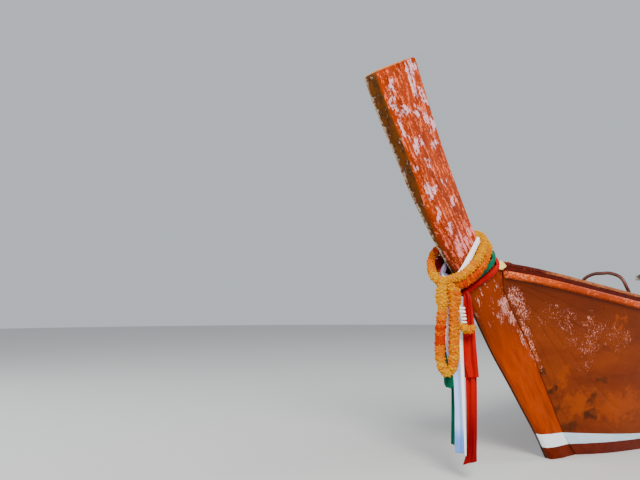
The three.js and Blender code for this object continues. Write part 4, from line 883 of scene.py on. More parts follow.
def slab(name, low, high, rounding=0.003, place=None):
    """A box with rounded edges."""
    work = bmesh.new()
    bmesh.ops.create_cube(work, size=1)
    low, high = Vector(low), Vector(high)
    for vert in work.verts:
        vert.co = Vector([(low[i] + high[i]) / 2 + vert.co[i] * (high[i] - low[i]) for i in range(3)])
    bmesh.ops.bevel(work, geom=work.edges[:], offset=rounding, segments=2, affect="EDGES")
    if place:
        work.transform(place)
    mesh = bpy.data.meshes.new(name)
    work.to_mesh(mesh)
    work.free()
    return piece(name, mesh, 35)


def bolts(name, spots, axis, size, high, place=None):
    """Hexagon heads that stand on a face, along an axis."""
    made = []
    turn = Vector((0, 0, 1)).rotation_difference(Vector(axis)).to_matrix()
    for spot in spots:
        rows = [[Vector(spot) + turn @ Vector((*at, lift)) for at in circle(share * size, 6)]
                for lift, share in ((-0.001, 1), (high * 0.8, 1), (high, 0.85))]
        made.append(skin(name, rows, sharp=25, place=place))
    return joined(name, made)


# Engine mounting: the socket is welded to a plate that bolts to the beam, the yoke turns in it, and
# the cradle of two rails hangs between the yoke's arms on its trunnions.
BEAM_TOP = 0.800
socket = joined("pivot_socket_casting", [
    softened("pivot_socket", "socket_body", 0.004),
    bolts("socket_bolts",
          [(PIVOT.x + i * 0.085, k * 0.085, BEAM_TOP + 0.012) for i in (-1, 1) for k in (-1, 1)],
          (0, 0, 1), 0.013, 0.010),
    *[slab("gusset", (-0.004, 0.047, 0.813), (0.004, 0.100, 0.90), 0.001,
           Matrix.Translation((PIVOT.x, 0, 0)) @ Matrix.Rotation(math.pi / 2 * k, 4, "Z"))
      for k in range(4)]])
fitted(socket, grey_paint, nodes=["pivot_socket"])
yoke = joined("swivel_yoke_weldment", [
    softened("swivel_yoke", "yoke_body", 0.004),
    *[turned("trunnion_boss", [(0, 0.0215), (0, 0.036), (0.008, 0.036), (0.008, 0.0215)], 32,
             Matrix.Translation(PIVOT + Vector((0, side * 0.221, 0)))
             @ Matrix.Rotation(side * math.pi / 2, 4, "Z"))
      for side in (-1, 1)],
    *[slab("arm_rib", (PIVOT.x - 0.008, side * 0.222 - (0 if side > 0 else 0.012), 1.03),
           (PIVOT.x + 0.008, side * 0.222 + (0.012 if side > 0 else 0), 1.27), 0.002) for side in (-1, 1)]])
fitted(yoke, grey_paint, "yoke", ["swivel_yoke"])
engine_part("engine_cradle_rails", "engine_cradle", grey_paint, [
    softened("engine_cradle", "cradle_body", 0.003),
    bolts("cradle_bolts", [(x, side * 0.172, -0.0205) for x in (0.0, 0.70) for side in (-1, 1)],
          (0, 0, 1), 0.012, 0.009, ENGINE_FRAME)])

# Engine: a water-cooled four-cylinder diesel of car size, its castings rough and oily, with the pump
# and filter on the port side and the exhaust on the starboard side.
engine_part("engine_block_casting", "engine_block", castings, [
    softened("engine_block", "block_body", 0.008),
    *[slab("block_rib", (0.200 + i * 0.105, side * 0.140 - 0.004, -0.120),
           (0.212 + i * 0.105, side * 0.140 + 0.004, 0.165), 0.002, ENGINE_FRAME)
      for i in range(5) for side in (-1, 1)],
    *[turned("core_plug", [(0, 0.0), (0, 0.024), (0.004, 0.024), (0.004, 0.018), (0.0015, 0.016),
                           (0.0015, 0.0)], 24,
             on_engine(0.26 + i * 0.105, side * 0.139, 0.06, side)) for i in range(3) for side in (-1, 1)],
    slab("sump_flange", (0.205, -0.132, -0.148), (0.595, 0.132, -0.139), 0.002, ENGINE_FRAME),
    bolts("sump_bolts", [(0.225 + i * 0.05, side * 0.122, -0.148) for i in range(8) for side in (-1, 1)],
          (0, 0, -1), 0.007, 0.006, ENGINE_FRAME),
    bolts("foot_bolts", [(x, side * 0.172, -0.001) for x in (0.25, 0.59) for side in (-1, 1)],
          (0, 0, 1), 0.012, 0.010, ENGINE_FRAME)])
engine_part("injection_pump", None, black_paint, [
    slab("pump_body", (0.42, 0.1405, -0.02), (0.56, 0.195, 0.06), 0.008, ENGINE_FRAME),
    *[turned("pump_outlet", [(0, 0.0), (0, 0.008), (0.022, 0.008), (0.022, 0.0)], 12,
             on_engine(0.44 + i * 0.033, 0.168, 0.058, -1, "Y")) for i in range(4)],
    *[tube("fuel_pipe", route([(0.44 + i * 0.033, 0.168, 0.078), (0.43 + i * 0.04, 0.172, 0.14),
                               (0.28 + i * 0.085, 0.150, 0.23), (0.26 + i * 0.095, 0.095, 0.27)], 6),
           0.003, 8, place=ENGINE_FRAME) for i in range(4)],
    turned("oil_filter", [(0, 0.0), (0, 0.030), (0.004, 0.034), (0.085, 0.034), (0.095, 0.028),
                          (0.095, 0.0)], 32, on_engine(0.30, 0.141, -0.06, 1))])
engine_part("cylinder_head_casting", "cylinder_head", head_paint, [
    softened("cylinder_head", "head_body", 0.007),
    bolts("cover_bolts", [(x, 0, 0.3295) for x in (0.26, 0.41, 0.56)], (0, 0, 1), 0.011, 0.010, ENGINE_FRAME),
    slab("cover_flange", (0.200, -0.086, 0.264), (0.620, 0.086, 0.272), 0.002, ENGINE_FRAME),
    *[slab("cover_rib", (0.225, -0.055 + i * 0.022, 0.329), (0.595, -0.049 + i * 0.022, 0.333), 0.001,
           ENGINE_FRAME) for i in range(6)]])
engine_part("gearbox_casting", "gearbox", castings, [
    turned("gearbox_body", [(0.1795, 0.0), (0.1795, 0.138), (0.168, 0.138), (0.166, 0.132), (0.130, 0.131),
                            (0.118, 0.110), (0.100, 0.092), (0.060, 0.084), (0.060, 0.070), (0.044, 0.070),
                            (0.044, 0.080), (0.030, 0.080), (0.030, 0.0)], 48, ENGINE_FRAME),
    bolts("bell_bolts", [(0.166, *at) for at in circle(0.129, 10)], (-1, 0, 0), 0.007, 0.007, ENGINE_FRAME)])


def pulley(y, z, radius):
    """A sheave with a groove for the belt, ahead of the block."""
    back, front = 0.6405, 0.6845
    return turned("pulley", [(back, 0.0), (back, radius), (0.652, radius), (0.659, radius - 0.007),
                             (0.666, radius - 0.007), (0.672, radius), (front - 0.004, radius),
                             (front - 0.004, radius * 0.75), (front - 0.014, radius * 0.7),
                             (front - 0.014, 0.016), (front, 0.014), (front, 0.0)], 40,
                  on_engine(0, y, z))


PULLEYS = ((0, -0.060, 0.075), (0, 0.120, 0.055), (0.118, 0.150, 0.032))
engine_part("belt_pulleys", "belt_drive", black_paint, [pulley(*row) for row in PULLEYS])


def around(circles):
    """The loop of a belt drawn tight round some pulleys, as (y, z) points in order."""
    rims = []
    for y, z, radius in circles:
        rims += [(y + across, z + up) for across, up in circle(radius, 48)]
    rims.sort()

    def turn_of(a, b, c):
        return (b[0] - a[0]) * (c[1] - a[1]) - (b[1] - a[1]) * (c[0] - a[0])
    halves = []
    for order in (rims, rims[::-1]):
        half = []
        for point in order:
            while len(half) > 1 and turn_of(half[-2], half[-1], point) <= 0:
                half.pop()
            half.append(point)
        halves += half[:-1]
    return halves


loop = around(PULLEYS)
middle = Vector((sum(y for y, _ in loop) / len(loop), sum(z for _, z in loop) / len(loop)))
belt_rows = []
for y, z in loop + loop[:1]:
    inner = Vector((y, z)) + (middle - Vector((y, z))).normalized() * 0.006
    belt_rows.append([(0.653, y, z), (0.669, y, z), (0.666, *inner), (0.656, *inner)])
belt = skin("drive_belt", belt_rows, capped=False, sharp=50, place=ENGINE_FRAME)
fitted(belt, rubber, "engine")
engine_part("alternator_body", "alternator", bare_steel, [
    softened("alternator", "alternator_case", 0.004),
    *[slab("alternator_slot", (0.495 + i * 0.02, 0.2, 0.197), (0.505 + i * 0.02, 0.224, 0.2), 0.0008,
           ENGINE_FRAME) for i in range(5)],
    turned("alternator_shaft", [(0.619, 0.0), (0.619, 0.02), (0.639, 0.02), (0.639, 0.0)], 24,
           on_engine(0, 0.150, 0.150))])
EXHAUST_Y = -0.180
engine_part("exhaust_pipe", "exhaust", rusty_steel, [
    slab("exhaust_manifold", (0.220, -0.185, 0.195), (0.580, -0.1205, 0.240), 0.014, ENGINE_FRAME),
    *[slab("exhaust_port", (0.235 + i * 0.095, -0.135, 0.198), (0.285 + i * 0.095, -0.1205, 0.238), 0.004,
           ENGINE_FRAME) for i in range(4)],
    tube("exhaust_bend", route([(0.260, -0.160, 0.220), (0.120, -0.175, 0.235), (0.020, EXHAUST_Y, 0.280),
                                (-0.060, EXHAUST_Y, 0.400), (-0.078, EXHAUST_Y, 0.520)], 8), 0.024, 24,
         place=ENGINE_FRAME),
    tube("silencer", [(-0.0735, EXHAUST_Y, 0.400), (-0.075, EXHAUST_Y, 0.430), (-0.0755, EXHAUST_Y, 0.445),
                      (-0.079, EXHAUST_Y, 0.585), (-0.080, EXHAUST_Y, 0.600)], 0.045, 32,
         [0.026, 0.036, 0.045, 0.045, 0.036], ENGINE_FRAME)])
engine_part("air_cleaner_drum", "air_cleaner", black_paint, [
    turned("drum", [(0.3305, 0.0), (0.3305, 0.045), (0.338, 0.045), (0.338, 0.100), (0.342, 0.112),
                    (0.350, 0.115), (0.384, 0.115), (0.386, 0.118), (0.391, 0.118), (0.393, 0.113),
                    (0.402, 0.100), (0.405, 0.080), (0.405, 0.0)], 48, on_engine(0.400, 0, 0, -1, "Y")),
    turned("wing_nut", [(0.404, 0.0), (0.404, 0.012), (0.414, 0.010), (0.416, 0.0)], 16,
           on_engine(0.400, 0, 0, -1, "Y"))])


# Tiller, tail and propeller: a steel pipe carries the shaft aft, trussed by a rod above it and
# shielded by a skeg below. Two brass blades turn behind its bearing.
def tiller_z(x):
    return 0.030 + (x - 0.715) / (1.680 - 0.715) * 0.060


engine_part("tiller_pipe", "tiller_bar", bare_steel, [
    tube("tiller_rod", [(x, 0, tiller_z(x)) for x in (0.715, 1.0, 1.3, 1.520)], 0.017, 24,
         place=ENGINE_FRAME),
    slab("tiller_foot", (0.715, -0.030, 0.0105), (0.755, 0.030, 0.050), 0.003, ENGINE_FRAME)])
grip_xs = [1.520 + i * 0.0165 for i in range(11)]
grip = tube("tiller_grip", [(x, 0, tiller_z(x)) for x in grip_xs], 0.022, 24,
            [0.019] + [0.0215, 0.0225] * 4 + [0.0215, 0.015], ENGINE_FRAME)
fitted(grip, rubber, "engine", ())
TAIL_END = -3.700
tail = turned("tail_pipe", [(0.0295, 0.0165), (0.0295, 0.072), (0.0095, 0.072), (0.0055, 0.044),
                            (-0.010, 0.038), *[(x, 0.038) for x in (-0.9, -1.8, -2.7)],
                            (TAIL_END + 0.13, 0.038), (TAIL_END + 0.125, 0.041),
                            (TAIL_END + 0.01, 0.041), (TAIL_END, 0.038), (TAIL_END, 0.0165),
                            (TAIL_END + 0.1, 0.0165)], 40, ENGINE_FRAME)
flange = bolts("flange_bolts", [(0.0095, *at) for at in circle(0.058, 6, 0.5)], (-1, 0, 0), 0.008, 0.008,
               ENGINE_FRAME)
engine_part("tail_pipe", "tail_tube", bare_steel, [tail, flange])
BRACE_ROWS = ((-0.330, 0.052), (-0.420, 0.110), (-1.450, 0.150), (-2.400, 0.120), (-2.800, 0.052))
engine_part("tail_truss_rod", "tail_brace", bare_steel, [
    tube("brace_bar", route([(x, 0, z) for x, z in BRACE_ROWS], 10), 0.012, 16, place=ENGINE_FRAME),
    *[tube("brace_post", [(x, 0, 0.0385), (x, 0, z)], 0.009, 12, place=ENGINE_FRAME)
      for x, z in BRACE_ROWS[1:-1]],
    *[slab("brace_foot", (x - 0.030, -0.014, 0.0375), (x + 0.030, 0.014, 0.054), 0.003, ENGINE_FRAME)
      for x, _ in BRACE_ROWS]])
fitted(softened("tail_skeg", "tail_skeg_plate", 0.0015), rusty_steel, "engine", ["tail_skeg"])
PROPELLER_X = -3.850
# Columns: radius, then chord and thickness as shares of the largest
BLADE_ROWS = ((0.018, 0.62, 1.0), (0.040, 0.78, 0.92), (0.060, 0.9, 0.85), (0.085, 0.97, 0.72),
              (0.110, 1.0, 0.6), (0.132, 0.93, 0.52), (0.150, 0.8, 0.45), (0.162, 0.6, 0.4),
              (0.170, 0.3, 0.35))
BLADE_CHORD = 0.105
BLADE_THICK = 0.007


def blade(turn):
    rows = []
    for radius, width, thickness in BLADE_ROWS:
        angle = math.pi / 2 - math.atan2(radius, 0.55 * 0.170) * 0.95
        half, thick = BLADE_CHORD * width / 2, BLADE_THICK * thickness / 2
        ring = []
        for k in range(16):
            a = 2 * math.pi * k / 16
            along, across = half * math.cos(a), thick * math.sin(a)
            ring.append((PROPELLER_X + along * math.cos(angle) - across * math.sin(angle),
                         along * math.sin(angle) + across * math.cos(angle), radius))
        rows.append(ring)
    return skin("blade", rows, sharp=60, place=ENGINE_FRAME @ Matrix.Rotation(turn, 4, "X"))


propeller = joined("propeller_brass", [
    turned("hub", [(PROPELLER_X + x, radius) for x, radius in (
        (0.055, 0.0), (0.055, 0.026), (0.020, 0.030), (-0.040, 0.027), (-0.044, 0.020), (-0.060, 0.018),
        (-0.085, 0.010), (-0.090, 0.0))], 32, ENGINE_FRAME),
    turned("shaft_end", [(PROPELLER_X + 0.05, 0.0), (PROPELLER_X + 0.05, 0.0155), (TAIL_END + 0.11, 0.0155),
                         (TAIL_END + 0.11, 0.0)], 24, ENGINE_FRAME),
    blade(0), blade(math.pi)])
fitted(propeller, brass, "propeller", ["propeller"])


# Canopy: galvanised tubes stand on the gunwales and carry bent bows, and a coated cloth is laced
# over them. It sags a little between the bows, and its hem hangs just past the side tubes.
CANOPY_BACK = -2.720
CANOPY_FRONT = 0.960
CANOPY_POSTS = (-2.650, -1.470, -0.290, 0.890)
CANOPY_RAIL_Y = 0.900
CANOPY_RAIL_Z = 1.650
CANOPY_TUBE = 0.017
CANOPY_HALF = 0.960
CANOPY_RISE = 0.190
ROOF_RADIUS = (CANOPY_HALF ** 2 + CANOPY_RISE ** 2) / (2 * CANOPY_RISE)
ROOF_BASE = CANOPY_RAIL_Z + CANOPY_TUBE + 0.014
for hand, side in (("port", 1), ("starboard", -1)):
    parts = [tube("canopy_rail", [(x, side * CANOPY_RAIL_Y, CANOPY_RAIL_Z)
                                  for x in (CANOPY_BACK, -1.5, 0.0, CANOPY_FRONT)], CANOPY_TUBE, 20)]
    for x in CANOPY_POSTS:
        _, _, breadth, sheer, *_ = station(x)
        foot = Vector((x, side * (breadth - 0.020), sheer + GUNWALE_HIGH + 0.0006))
        start = Vector((x, side * (breadth - 0.020), sheer + 0.060))
        top = Vector((x, side * CANOPY_RAIL_Y, CANOPY_RAIL_Z))
        lean = (top - start).normalized()
        foot += lean * 0.003
        parts.append(tube("canopy_post", [foot, (foot + top) / 2, top], CANOPY_TUBE, 20))
        parts.append(tube("post_collar", [top - lean * 0.045, top - lean * 0.016], CANOPY_TUBE + 0.004, 20))
        flange_z = sheer + GUNWALE_HIGH
        parts.append(slab("post_flange", (x - 0.032, side * (breadth - 0.020) - 0.019, flange_z + 0.0005),
                          (x + 0.032, side * (breadth - 0.020) + 0.019, flange_z + 0.005), 0.001))
    frame_side = joined(f"canopy_side_{hand}", parts)
    fitted(frame_side, galvanised, nodes=[f"canopy_frame_{hand}"])
bow_tubes = softened("canopy_bows", "canopy_bow_tubes", 0.007, 3)
fitted(bow_tubes, galvanised, nodes=["canopy_bows"])

canopy_cloth = Finish("canopy_cloth", Specular_IOR_Level=0.35, Sheen_Weight=0.1)
weave = canopy_cloth.noise(0.004, (1, 1, 1), detail=1)
cloth_tone = canopy_cloth.over(paint(196, 192, 178), paint(172, 168, 152),
                               canopy_cloth.noise(0.5), 0.35, 0.7)
cloth_tone = canopy_cloth.over(cloth_tone, paint(128, 120, 100),
                               canopy_cloth.noise(0.12, (0.4, 1, 1), (4, 2, 1)), 0.55, 0.75, 0.6)
canopy_finish = canopy_cloth.done(cloth_tone, 0.72, weave, 0.0003)


POSTS_HALF_APART = 0.59
ROOF_SAG = 0.012
ROOF_RIPPLE = 0.003
ROOF_OVER_BOWS = 0.0135         # from the bows' centreline up to the cloth
ROOF_CLOTH_THICK = 0.0025
ROOF_OVERHANG = 0.028           # past the end bows
ROOF_STEPS = 96
ROOF_STEPS_ACROSS = 48
HEM_DROPS = (1, 2, 3)
HEM_DROP = 0.020


def roof_point(x, across):
    """The cloth's top at a share of the way across, port to starboard."""
    reach = math.asin(CANOPY_HALF / ROOF_RADIUS)
    angle = reach * across
    from_post = min(min(abs(x - post) for post in CANOPY_POSTS) / POSTS_HALF_APART, 1)
    sag = ROOF_SAG * from_post ** 1.5 * (1 - abs(across) ** 6)
    ripple = ROOF_RIPPLE * math.sin(across * 19 + x * 3) * from_post
    out = ROOF_RADIUS + ROOF_OVER_BOWS - sag + ripple
    return Vector((x, out * math.sin(angle), ROOF_BASE + CANOPY_RISE - ROOF_RADIUS + out * math.cos(angle)))


def thicken(cloth, thickness):
    """Gives a cloth its thickness, half to each side."""
    solid = cloth.modifiers.new("cloth", "SOLIDIFY")
    solid.thickness = thickness
    solid.offset = 0


roof_rows = []
for i in range(ROOF_STEPS + 1):
    x = CANOPY_BACK - ROOF_OVERHANG + i / ROOF_STEPS * (CANOPY_FRONT - CANOPY_BACK + 2 * ROOF_OVERHANG)
    row = [roof_point(x, 2 * k / ROOF_STEPS_ACROSS - 1) for k in range(ROOF_STEPS_ACROSS + 1)]
    flare = 0.004 * math.sin(x * 14) + 0.003 * math.sin(x * 31 + 1)
    for side, index in ((-1, 0), (1, -1)):
        edge = row[index]
        hem = [edge + Vector((0, side * (0.004 + flare * k / 3), -HEM_DROP * k)) for k in HEM_DROPS]
        row = hem[::-1] + row if side < 0 else row + hem
    roof_rows.append(row)
roof = skin("canopy_cloth_roof", roof_rows, closed=False, sharp=60)
thicken(roof, ROOF_CLOTH_THICK)
fitted(roof, canopy_finish, nodes=["canopy_roof"])

# Boarding steps: two bent tubes with rungs, painted brown, stowed on the bow deck with their hooped
# end up.
LADDER_Y = 0.190
LADDER_HALF = 0.210
LADDER_TUBE = 0.015
HOOP_X = 4.130


def ladder_z(x):
    return station(x)[3] - 0.001 + LADDER_TUBE


ladder_parts = []
for side in (1, -1):
    y, top = LADDER_Y + side * LADDER_HALF, HOOP_X + 0.020
    rail = route([(3.330, y, ladder_z(3.330) + 0.004), (3.700, y, ladder_z(3.700) + 0.004),
                  (3.990, y, ladder_z(3.990) + 0.020), (HOOP_X, y, 1.400), (top, y - side * 0.040, 1.500),
                  (top, LADDER_Y + side * 0.080, 1.545), (top, LADDER_Y, 1.549)], 8)
    ladder_parts.append(tube("ladder_rail", rail, LADDER_TUBE, 20))
for x in (3.380, 3.600, 3.820):
    z = ladder_z(x) + 0.004
    ends = [(x, LADDER_Y - LADDER_HALF, z), (x, LADDER_Y + LADDER_HALF, z)]
    ladder_parts.append(tube("ladder_rung", ends, 0.011, 16))
fitted(joined("boarding_steps", ladder_parts), tube_paint, nodes=["boarding_ladder"])


# Scarves: three satin sashes tied round the prow, red lowest, then green and white. Each is gathered
# into a rope of folds where it goes round the timber, and its ends hang free ahead of the stem.
def from_stem(points):
    """Points whose x is counted from the stem's foot at the waterline."""
    return [Vector((x + STEM_X, y, z)) for x, y, z in points]


def evenly(points, count):
    """Points at even steps along a smooth closed curve."""
    fine = route([points[-1], *points, *points[:2]], 16)[16:-16]
    lengths = [0.0]
    for a, b in zip(fine, fine[1:]):
        lengths.append(lengths[-1] + (b - a).length)
    out, k = [], 0
    for i in range(count):
        want = lengths[-1] * i / count
        while lengths[k + 1] < want:
            k += 1
        share = (want - lengths[k]) / (lengths[k + 1] - lengths[k])
        out.append(fine[k].lerp(fine[k + 1], share))
    return out


BAND_ROWS = 150
BAND_STEPS = 26
BAND_DEEP = 0.020


def sash_band(name, points, width, folds, phase):
    """A gathered sash that runs round the prow: folds outside, a smooth side on the timber."""
    path = evenly(from_stem(points), BAND_ROWS)
    middle = sum(path, Vector()) / BAND_ROWS
    rows = []
    for i in range(BAND_ROWS + 1):
        at = path[i % BAND_ROWS]
        ahead = (path[(i + 1) % BAND_ROWS] - path[i % BAND_ROWS - 1]).normalized()
        out = at - middle
        out = (out - ahead * out.dot(ahead)).normalized()
        up = ahead.cross(out).normalized()
        turn = 2 * math.pi * (i % BAND_ROWS) / BAND_ROWS
        spread = width * (0.90 + 0.07 * math.sin(turn * 2 + phase) + 0.05 * math.sin(turn * 5 + phase * 2))
        row = []
        for k in range(BAND_STEPS + 1):
            v = k / BAND_STEPS - 0.5
            fold = math.sin(2 * math.pi * folds * v + phase + 0.9 * math.sin(turn * 2 + phase) + turn)
            fold += 0.4 * math.sin(2 * math.pi * folds * 2.2 * v + phase * 3 + turn * 3)
            edge = 1 - abs(2 * v) ** 4
            row.append(at + up * (v * spread) + out * (0.0038 * fold * edge + 0.010 * edge - 0.006))
        row += [at + up * ((0.5 - k / 6) * spread * 0.94) - out * BAND_DEEP for k in range(7)]
        rows.append(row)
    return skin(name, rows, capped=False, sharp=75)


# The ends hang in upright planes square to the line of sight, measured from one middle line
HANG_ACROSS = Vector((-0.640, 0.768, 0)).normalized()
HANG_OUT = Vector((0.768, 0.640, 0)).normalized()
HANG_AT = Vector((1.060 + STEM_X, 0.050, 0))
HANG_STEPS = 84
HANG_POINTS = 40


def hung(name, rows, folds, phase):
    """A hanging end. Columns: z of its left and right edge, the edges' places, reach ahead, fold depth."""
    rows = between(rows, HANG_STEPS // (len(rows) - 1))
    sheet = []
    for i, (z_left, z_right, left, right, out, depth) in enumerate(rows):
        down = i / (len(rows) - 1)
        row = []
        for k in range(HANG_POINTS + 1):
            u = k / HANG_POINTS
            wave = math.sin(2 * math.pi * folds * u + phase + 0.7 * math.sin(down * 3.1 + phase))
            wave += 0.35 * math.sin(2 * math.pi * folds * 2.3 * u + phase * 2 + down * 4)
            wave += 0.15 * math.sin(down * 23 + u * 7 + phase)
            row.append(HANG_AT + HANG_ACROSS * (left + (right - left) * u) + HANG_OUT * (out + depth * wave)
                       + Vector((0, 0, z_left + (z_right - z_left) * u)))
        sheet.append(row)
    return skin(name, sheet, closed=False, sharp=75)


def knot(at, size, phase):
    """The lump of cloth where a sash is tied."""
    rows = []
    for i in range(17):
        share = i / 16
        belly = math.sin(math.pi * min(max(share, 0.02), 0.98)) ** 0.6
        row = []
        for k in range(32):
            a = 2 * math.pi * k / 32
            crease = 1 + 0.09 * math.sin(5 * a + phase + share * 4) + 0.05 * math.sin(9 * a - share * 7)
            reach = size * belly * crease
            row.append(at + Vector((math.cos(a) * reach, math.sin(a) * reach * 0.85,
                                    (share - 0.5) * size * 2.1)))
        rows.append(row)
    return skin("sash_knot", rows, sharp=60)


def flap(name, rows):
    """A strip of cloth between two edges. Columns: left edge x, y, z, then right edge x, y, z."""
    sheet = []
    for *left, x, y, z in between(rows, 6):
        left, right = from_stem([left, (x, y, z)])
        sheet.append([left.lerp(right, k / 10) + Vector((0, 0.002 * math.sin(k * 1.9), 0))
                      for k in range(11)])
    return skin(name, sheet, closed=False, sharp=75)


RED_LOOP = ((0.700, 0, 1.645), (0.684, 0.070, 1.625), (0.672, 0.094, 1.585), (0.685, 0.098, 1.540),
            (0.742, 0.095, 1.494), (0.840, 0.088, 1.442), (0.945, 0.080, 1.393), (1.010, 0.062, 1.357),
            (1.030, 0.020, 1.336), (1.030, -0.030, 1.336), (1.000, -0.066, 1.362), (0.930, -0.080, 1.410),
            (0.830, -0.084, 1.462), (0.745, -0.084, 1.520), (0.700, -0.080, 1.580), (0.690, -0.062, 1.625))
GREEN_LOOP = ((0.738, 0, 1.694), (0.722, 0.070, 1.680), (0.716, 0.094, 1.640), (0.730, 0.098, 1.592),
              (0.775, 0.095, 1.545), (0.855, 0.090, 1.493), (0.940, 0.084, 1.448), (1.020, 0.068, 1.412),
              (1.060, 0.020, 1.392), (1.062, -0.035, 1.396), (1.030, -0.072, 1.425), (0.950, -0.084, 1.474),
              (0.860, -0.086, 1.530), (0.790, -0.084, 1.590), (0.745, -0.078, 1.640), (0.735, -0.058, 1.680))
WHITE_LOOP = ((0.845, 0, 1.792), (0.846, 0.060, 1.785), (0.868, 0.078, 1.750), (0.925, 0.078, 1.676),
              (0.990, 0.078, 1.592), (1.068, 0.076, 1.502), (1.135, 0.066, 1.448), (1.172, 0.030, 1.436),
              (1.168, -0.030, 1.450), (1.130, -0.076, 1.500), (1.060, -0.090, 1.585), (0.975, -0.088, 1.680),
              (0.895, -0.076, 1.755), (0.856, -0.056, 1.785))
red = joined("red_scarf", [
    sash_band("band", RED_LOOP, 0.046, 2.5, 0.4),
    knot(Vector((1.026 + STEM_X, 0.058, 1.345)), 0.023, 0.0),
    hung("upper_end", (
        (1.352, 1.352, 0.016, 0.050, -0.006, 0.004), (1.300, 1.300, 0.013, 0.070, 0.004, 0.011),
        (1.180, 1.180, 0.006, 0.080, 0.006, 0.011), (1.030, 1.030, 0.001, 0.089, 0.008, 0.009),
        (0.860, 0.860, 0.004, 0.097, 0.009, 0.008), (0.736, 0.742, 0.030, 0.104, 0.010, 0.007)), 1.2, 2.2),
    hung("turned_under", (
        (1.330, 1.330, 0.012, 0.050, -0.012, 0.004), (1.100, 1.100, 0.004, 0.060, -0.006, 0.006),
        (0.860, 0.860, 0.002, 0.060, -0.006, 0.006), (0.736, 0.738, 0.004, 0.070, -0.006, 0.005)), 0.9, 1.0),
    hung("lower_end", (
        (1.345, 1.345, 0.018, 0.048, -0.022, 0.005), (1.200, 1.200, 0.014, 0.072, -0.021, 0.008),
        (0.900, 0.900, 0.010, 0.086, -0.020, 0.007), (0.700, 0.700, 0.010, 0.088, -0.018, 0.008),
        (0.450, 0.450, 0.008, 0.081, -0.016, 0.008), (0.250, 0.262, 0.002, 0.074, -0.014, 0.008),
        (0.190, 0.215, -0.006, 0.071, -0.013, 0.007), (0.124, 0.152, -0.027, 0.070, -0.012, 0.005)),
        1.6, 0.6),
    flap("front_fold", (
        (1.165, -0.104, 1.600, 1.140, -0.098, 1.460), (1.110, -0.106, 1.610, 1.080, -0.098, 1.450),
        (1.050, -0.106, 1.590, 1.020, -0.098, 1.440), (0.990, -0.100, 1.540, 0.980, -0.096, 1.430)))])
green = joined("green_scarf", [
    sash_band("band", GREEN_LOOP, 0.052, 2.5, 1.9),
    knot(Vector((1.072 + STEM_X, -0.020, 1.392)), 0.022, 1.0),
    hung("loop_front", (
        (1.395, 1.395, -0.075, -0.035, -0.012, 0.005), (1.300, 1.300, -0.105, -0.040, -0.022, 0.006),
        (1.100, 1.100, -0.128, -0.060, -0.022, 0.006), (0.900, 0.900, -0.138, -0.070, -0.020, 0.006),
        (0.740, 0.736, -0.143, -0.077, -0.002, 0.005), (0.690, 0.676, -0.142, -0.080, 0.006, 0.005),
        (0.664, 0.652, -0.130, -0.088, 0.002, 0.002)), 1.2, 0.3),
    hung("loop_back", (
        (1.395, 1.395, -0.075, -0.035, -0.028, 0.004), (1.100, 1.100, -0.126, -0.064, -0.038, 0.005),
        (0.740, 0.736, -0.141, -0.079, -0.022, 0.005), (0.690, 0.676, -0.141, -0.081, -0.010, 0.004),
        (0.664, 0.652, -0.130, -0.088, 0.001, 0.002)), 1.2, 2.3),
    hung("narrow_end", (
        (1.390, 1.390, -0.060, -0.030, -0.044, 0.004), (1.100, 1.100, -0.090, -0.062, -0.050, 0.005),
        (0.740, 0.740, -0.092, -0.071, -0.034, 0.006), (0.480, 0.480, -0.098, -0.074, -0.028, 0.008),
        (0.262, 0.252, -0.107, -0.081, -0.024, 0.008)), 1.5, 1.1)])
white = joined("white_scarf", [
    sash_band("band", WHITE_LOOP, 0.044, 2.0, 3.1),
    knot(Vector((1.130 + STEM_X, 0.010, 1.425)), 0.022, 2.0),
    hung("broad_end", (
        (1.420, 1.420, -0.070, -0.020, 0.020, 0.006), (1.300, 1.300, -0.118, -0.012, 0.000, 0.008),
        (1.050, 1.050, -0.126, -0.006, -0.002, 0.008), (0.880, 0.880, -0.116, -0.008, -0.002, 0.008),
        (0.760, 0.760, -0.080, -0.008, -0.002, 0.007), (0.550, 0.550, -0.072, -0.010, -0.002, 0.007),
        (0.380, 0.380, -0.076, -0.012, -0.002, 0.007), (0.208, 0.205, -0.078, -0.014, -0.002, 0.006)),
        1.3, 1.2),
    hung("turned_edge", (
        (1.400, 1.400, -0.036, -0.008, 0.024, 0.003), (1.150, 1.150, -0.026, -0.006, 0.018, 0.003),
        (0.916, 0.916, -0.024, -0.001, 0.018, 0.003), (0.600, 0.600, -0.019, 0.001, 0.017, 0.003),
        (0.350, 0.350, -0.014, 0.000, 0.016, 0.003), (0.200, 0.192, -0.012, -0.001, 0.015, 0.002)), 0.6, 0.4),
    flap("tucked_end", (
        (0.800, -0.010, 1.790, 0.800, 0.060, 1.765), (0.735, 0.010, 1.672, 0.715, 0.064, 1.655),
        (0.690, 0.012, 1.612, 0.665, 0.067, 1.592), (0.625, 0.030, 1.606, 0.640, 0.071, 1.545),
        (0.575, 0.055, 1.600, 0.600, 0.073, 1.534), (0.533, 0.070, 1.573, 0.551, 0.074, 1.545))),
    flap("tucked_tip", (
        (0.672, 0.092, 1.560, 0.664, 0.092, 1.545), (0.642, 0.092, 1.604, 0.630, 0.092, 1.532),
        (0.596, 0.090, 1.590, 0.592, 0.090, 1.546), (0.556, 0.086, 1.568, 0.556, 0.086, 1.562))),
    flap("front_fold", (
        (1.160, -0.074, 1.500, 1.150, -0.066, 1.440), (1.100, -0.074, 1.500, 1.090, -0.066, 1.430),
        (1.040, -0.074, 1.478, 1.020, -0.066, 1.415)))])


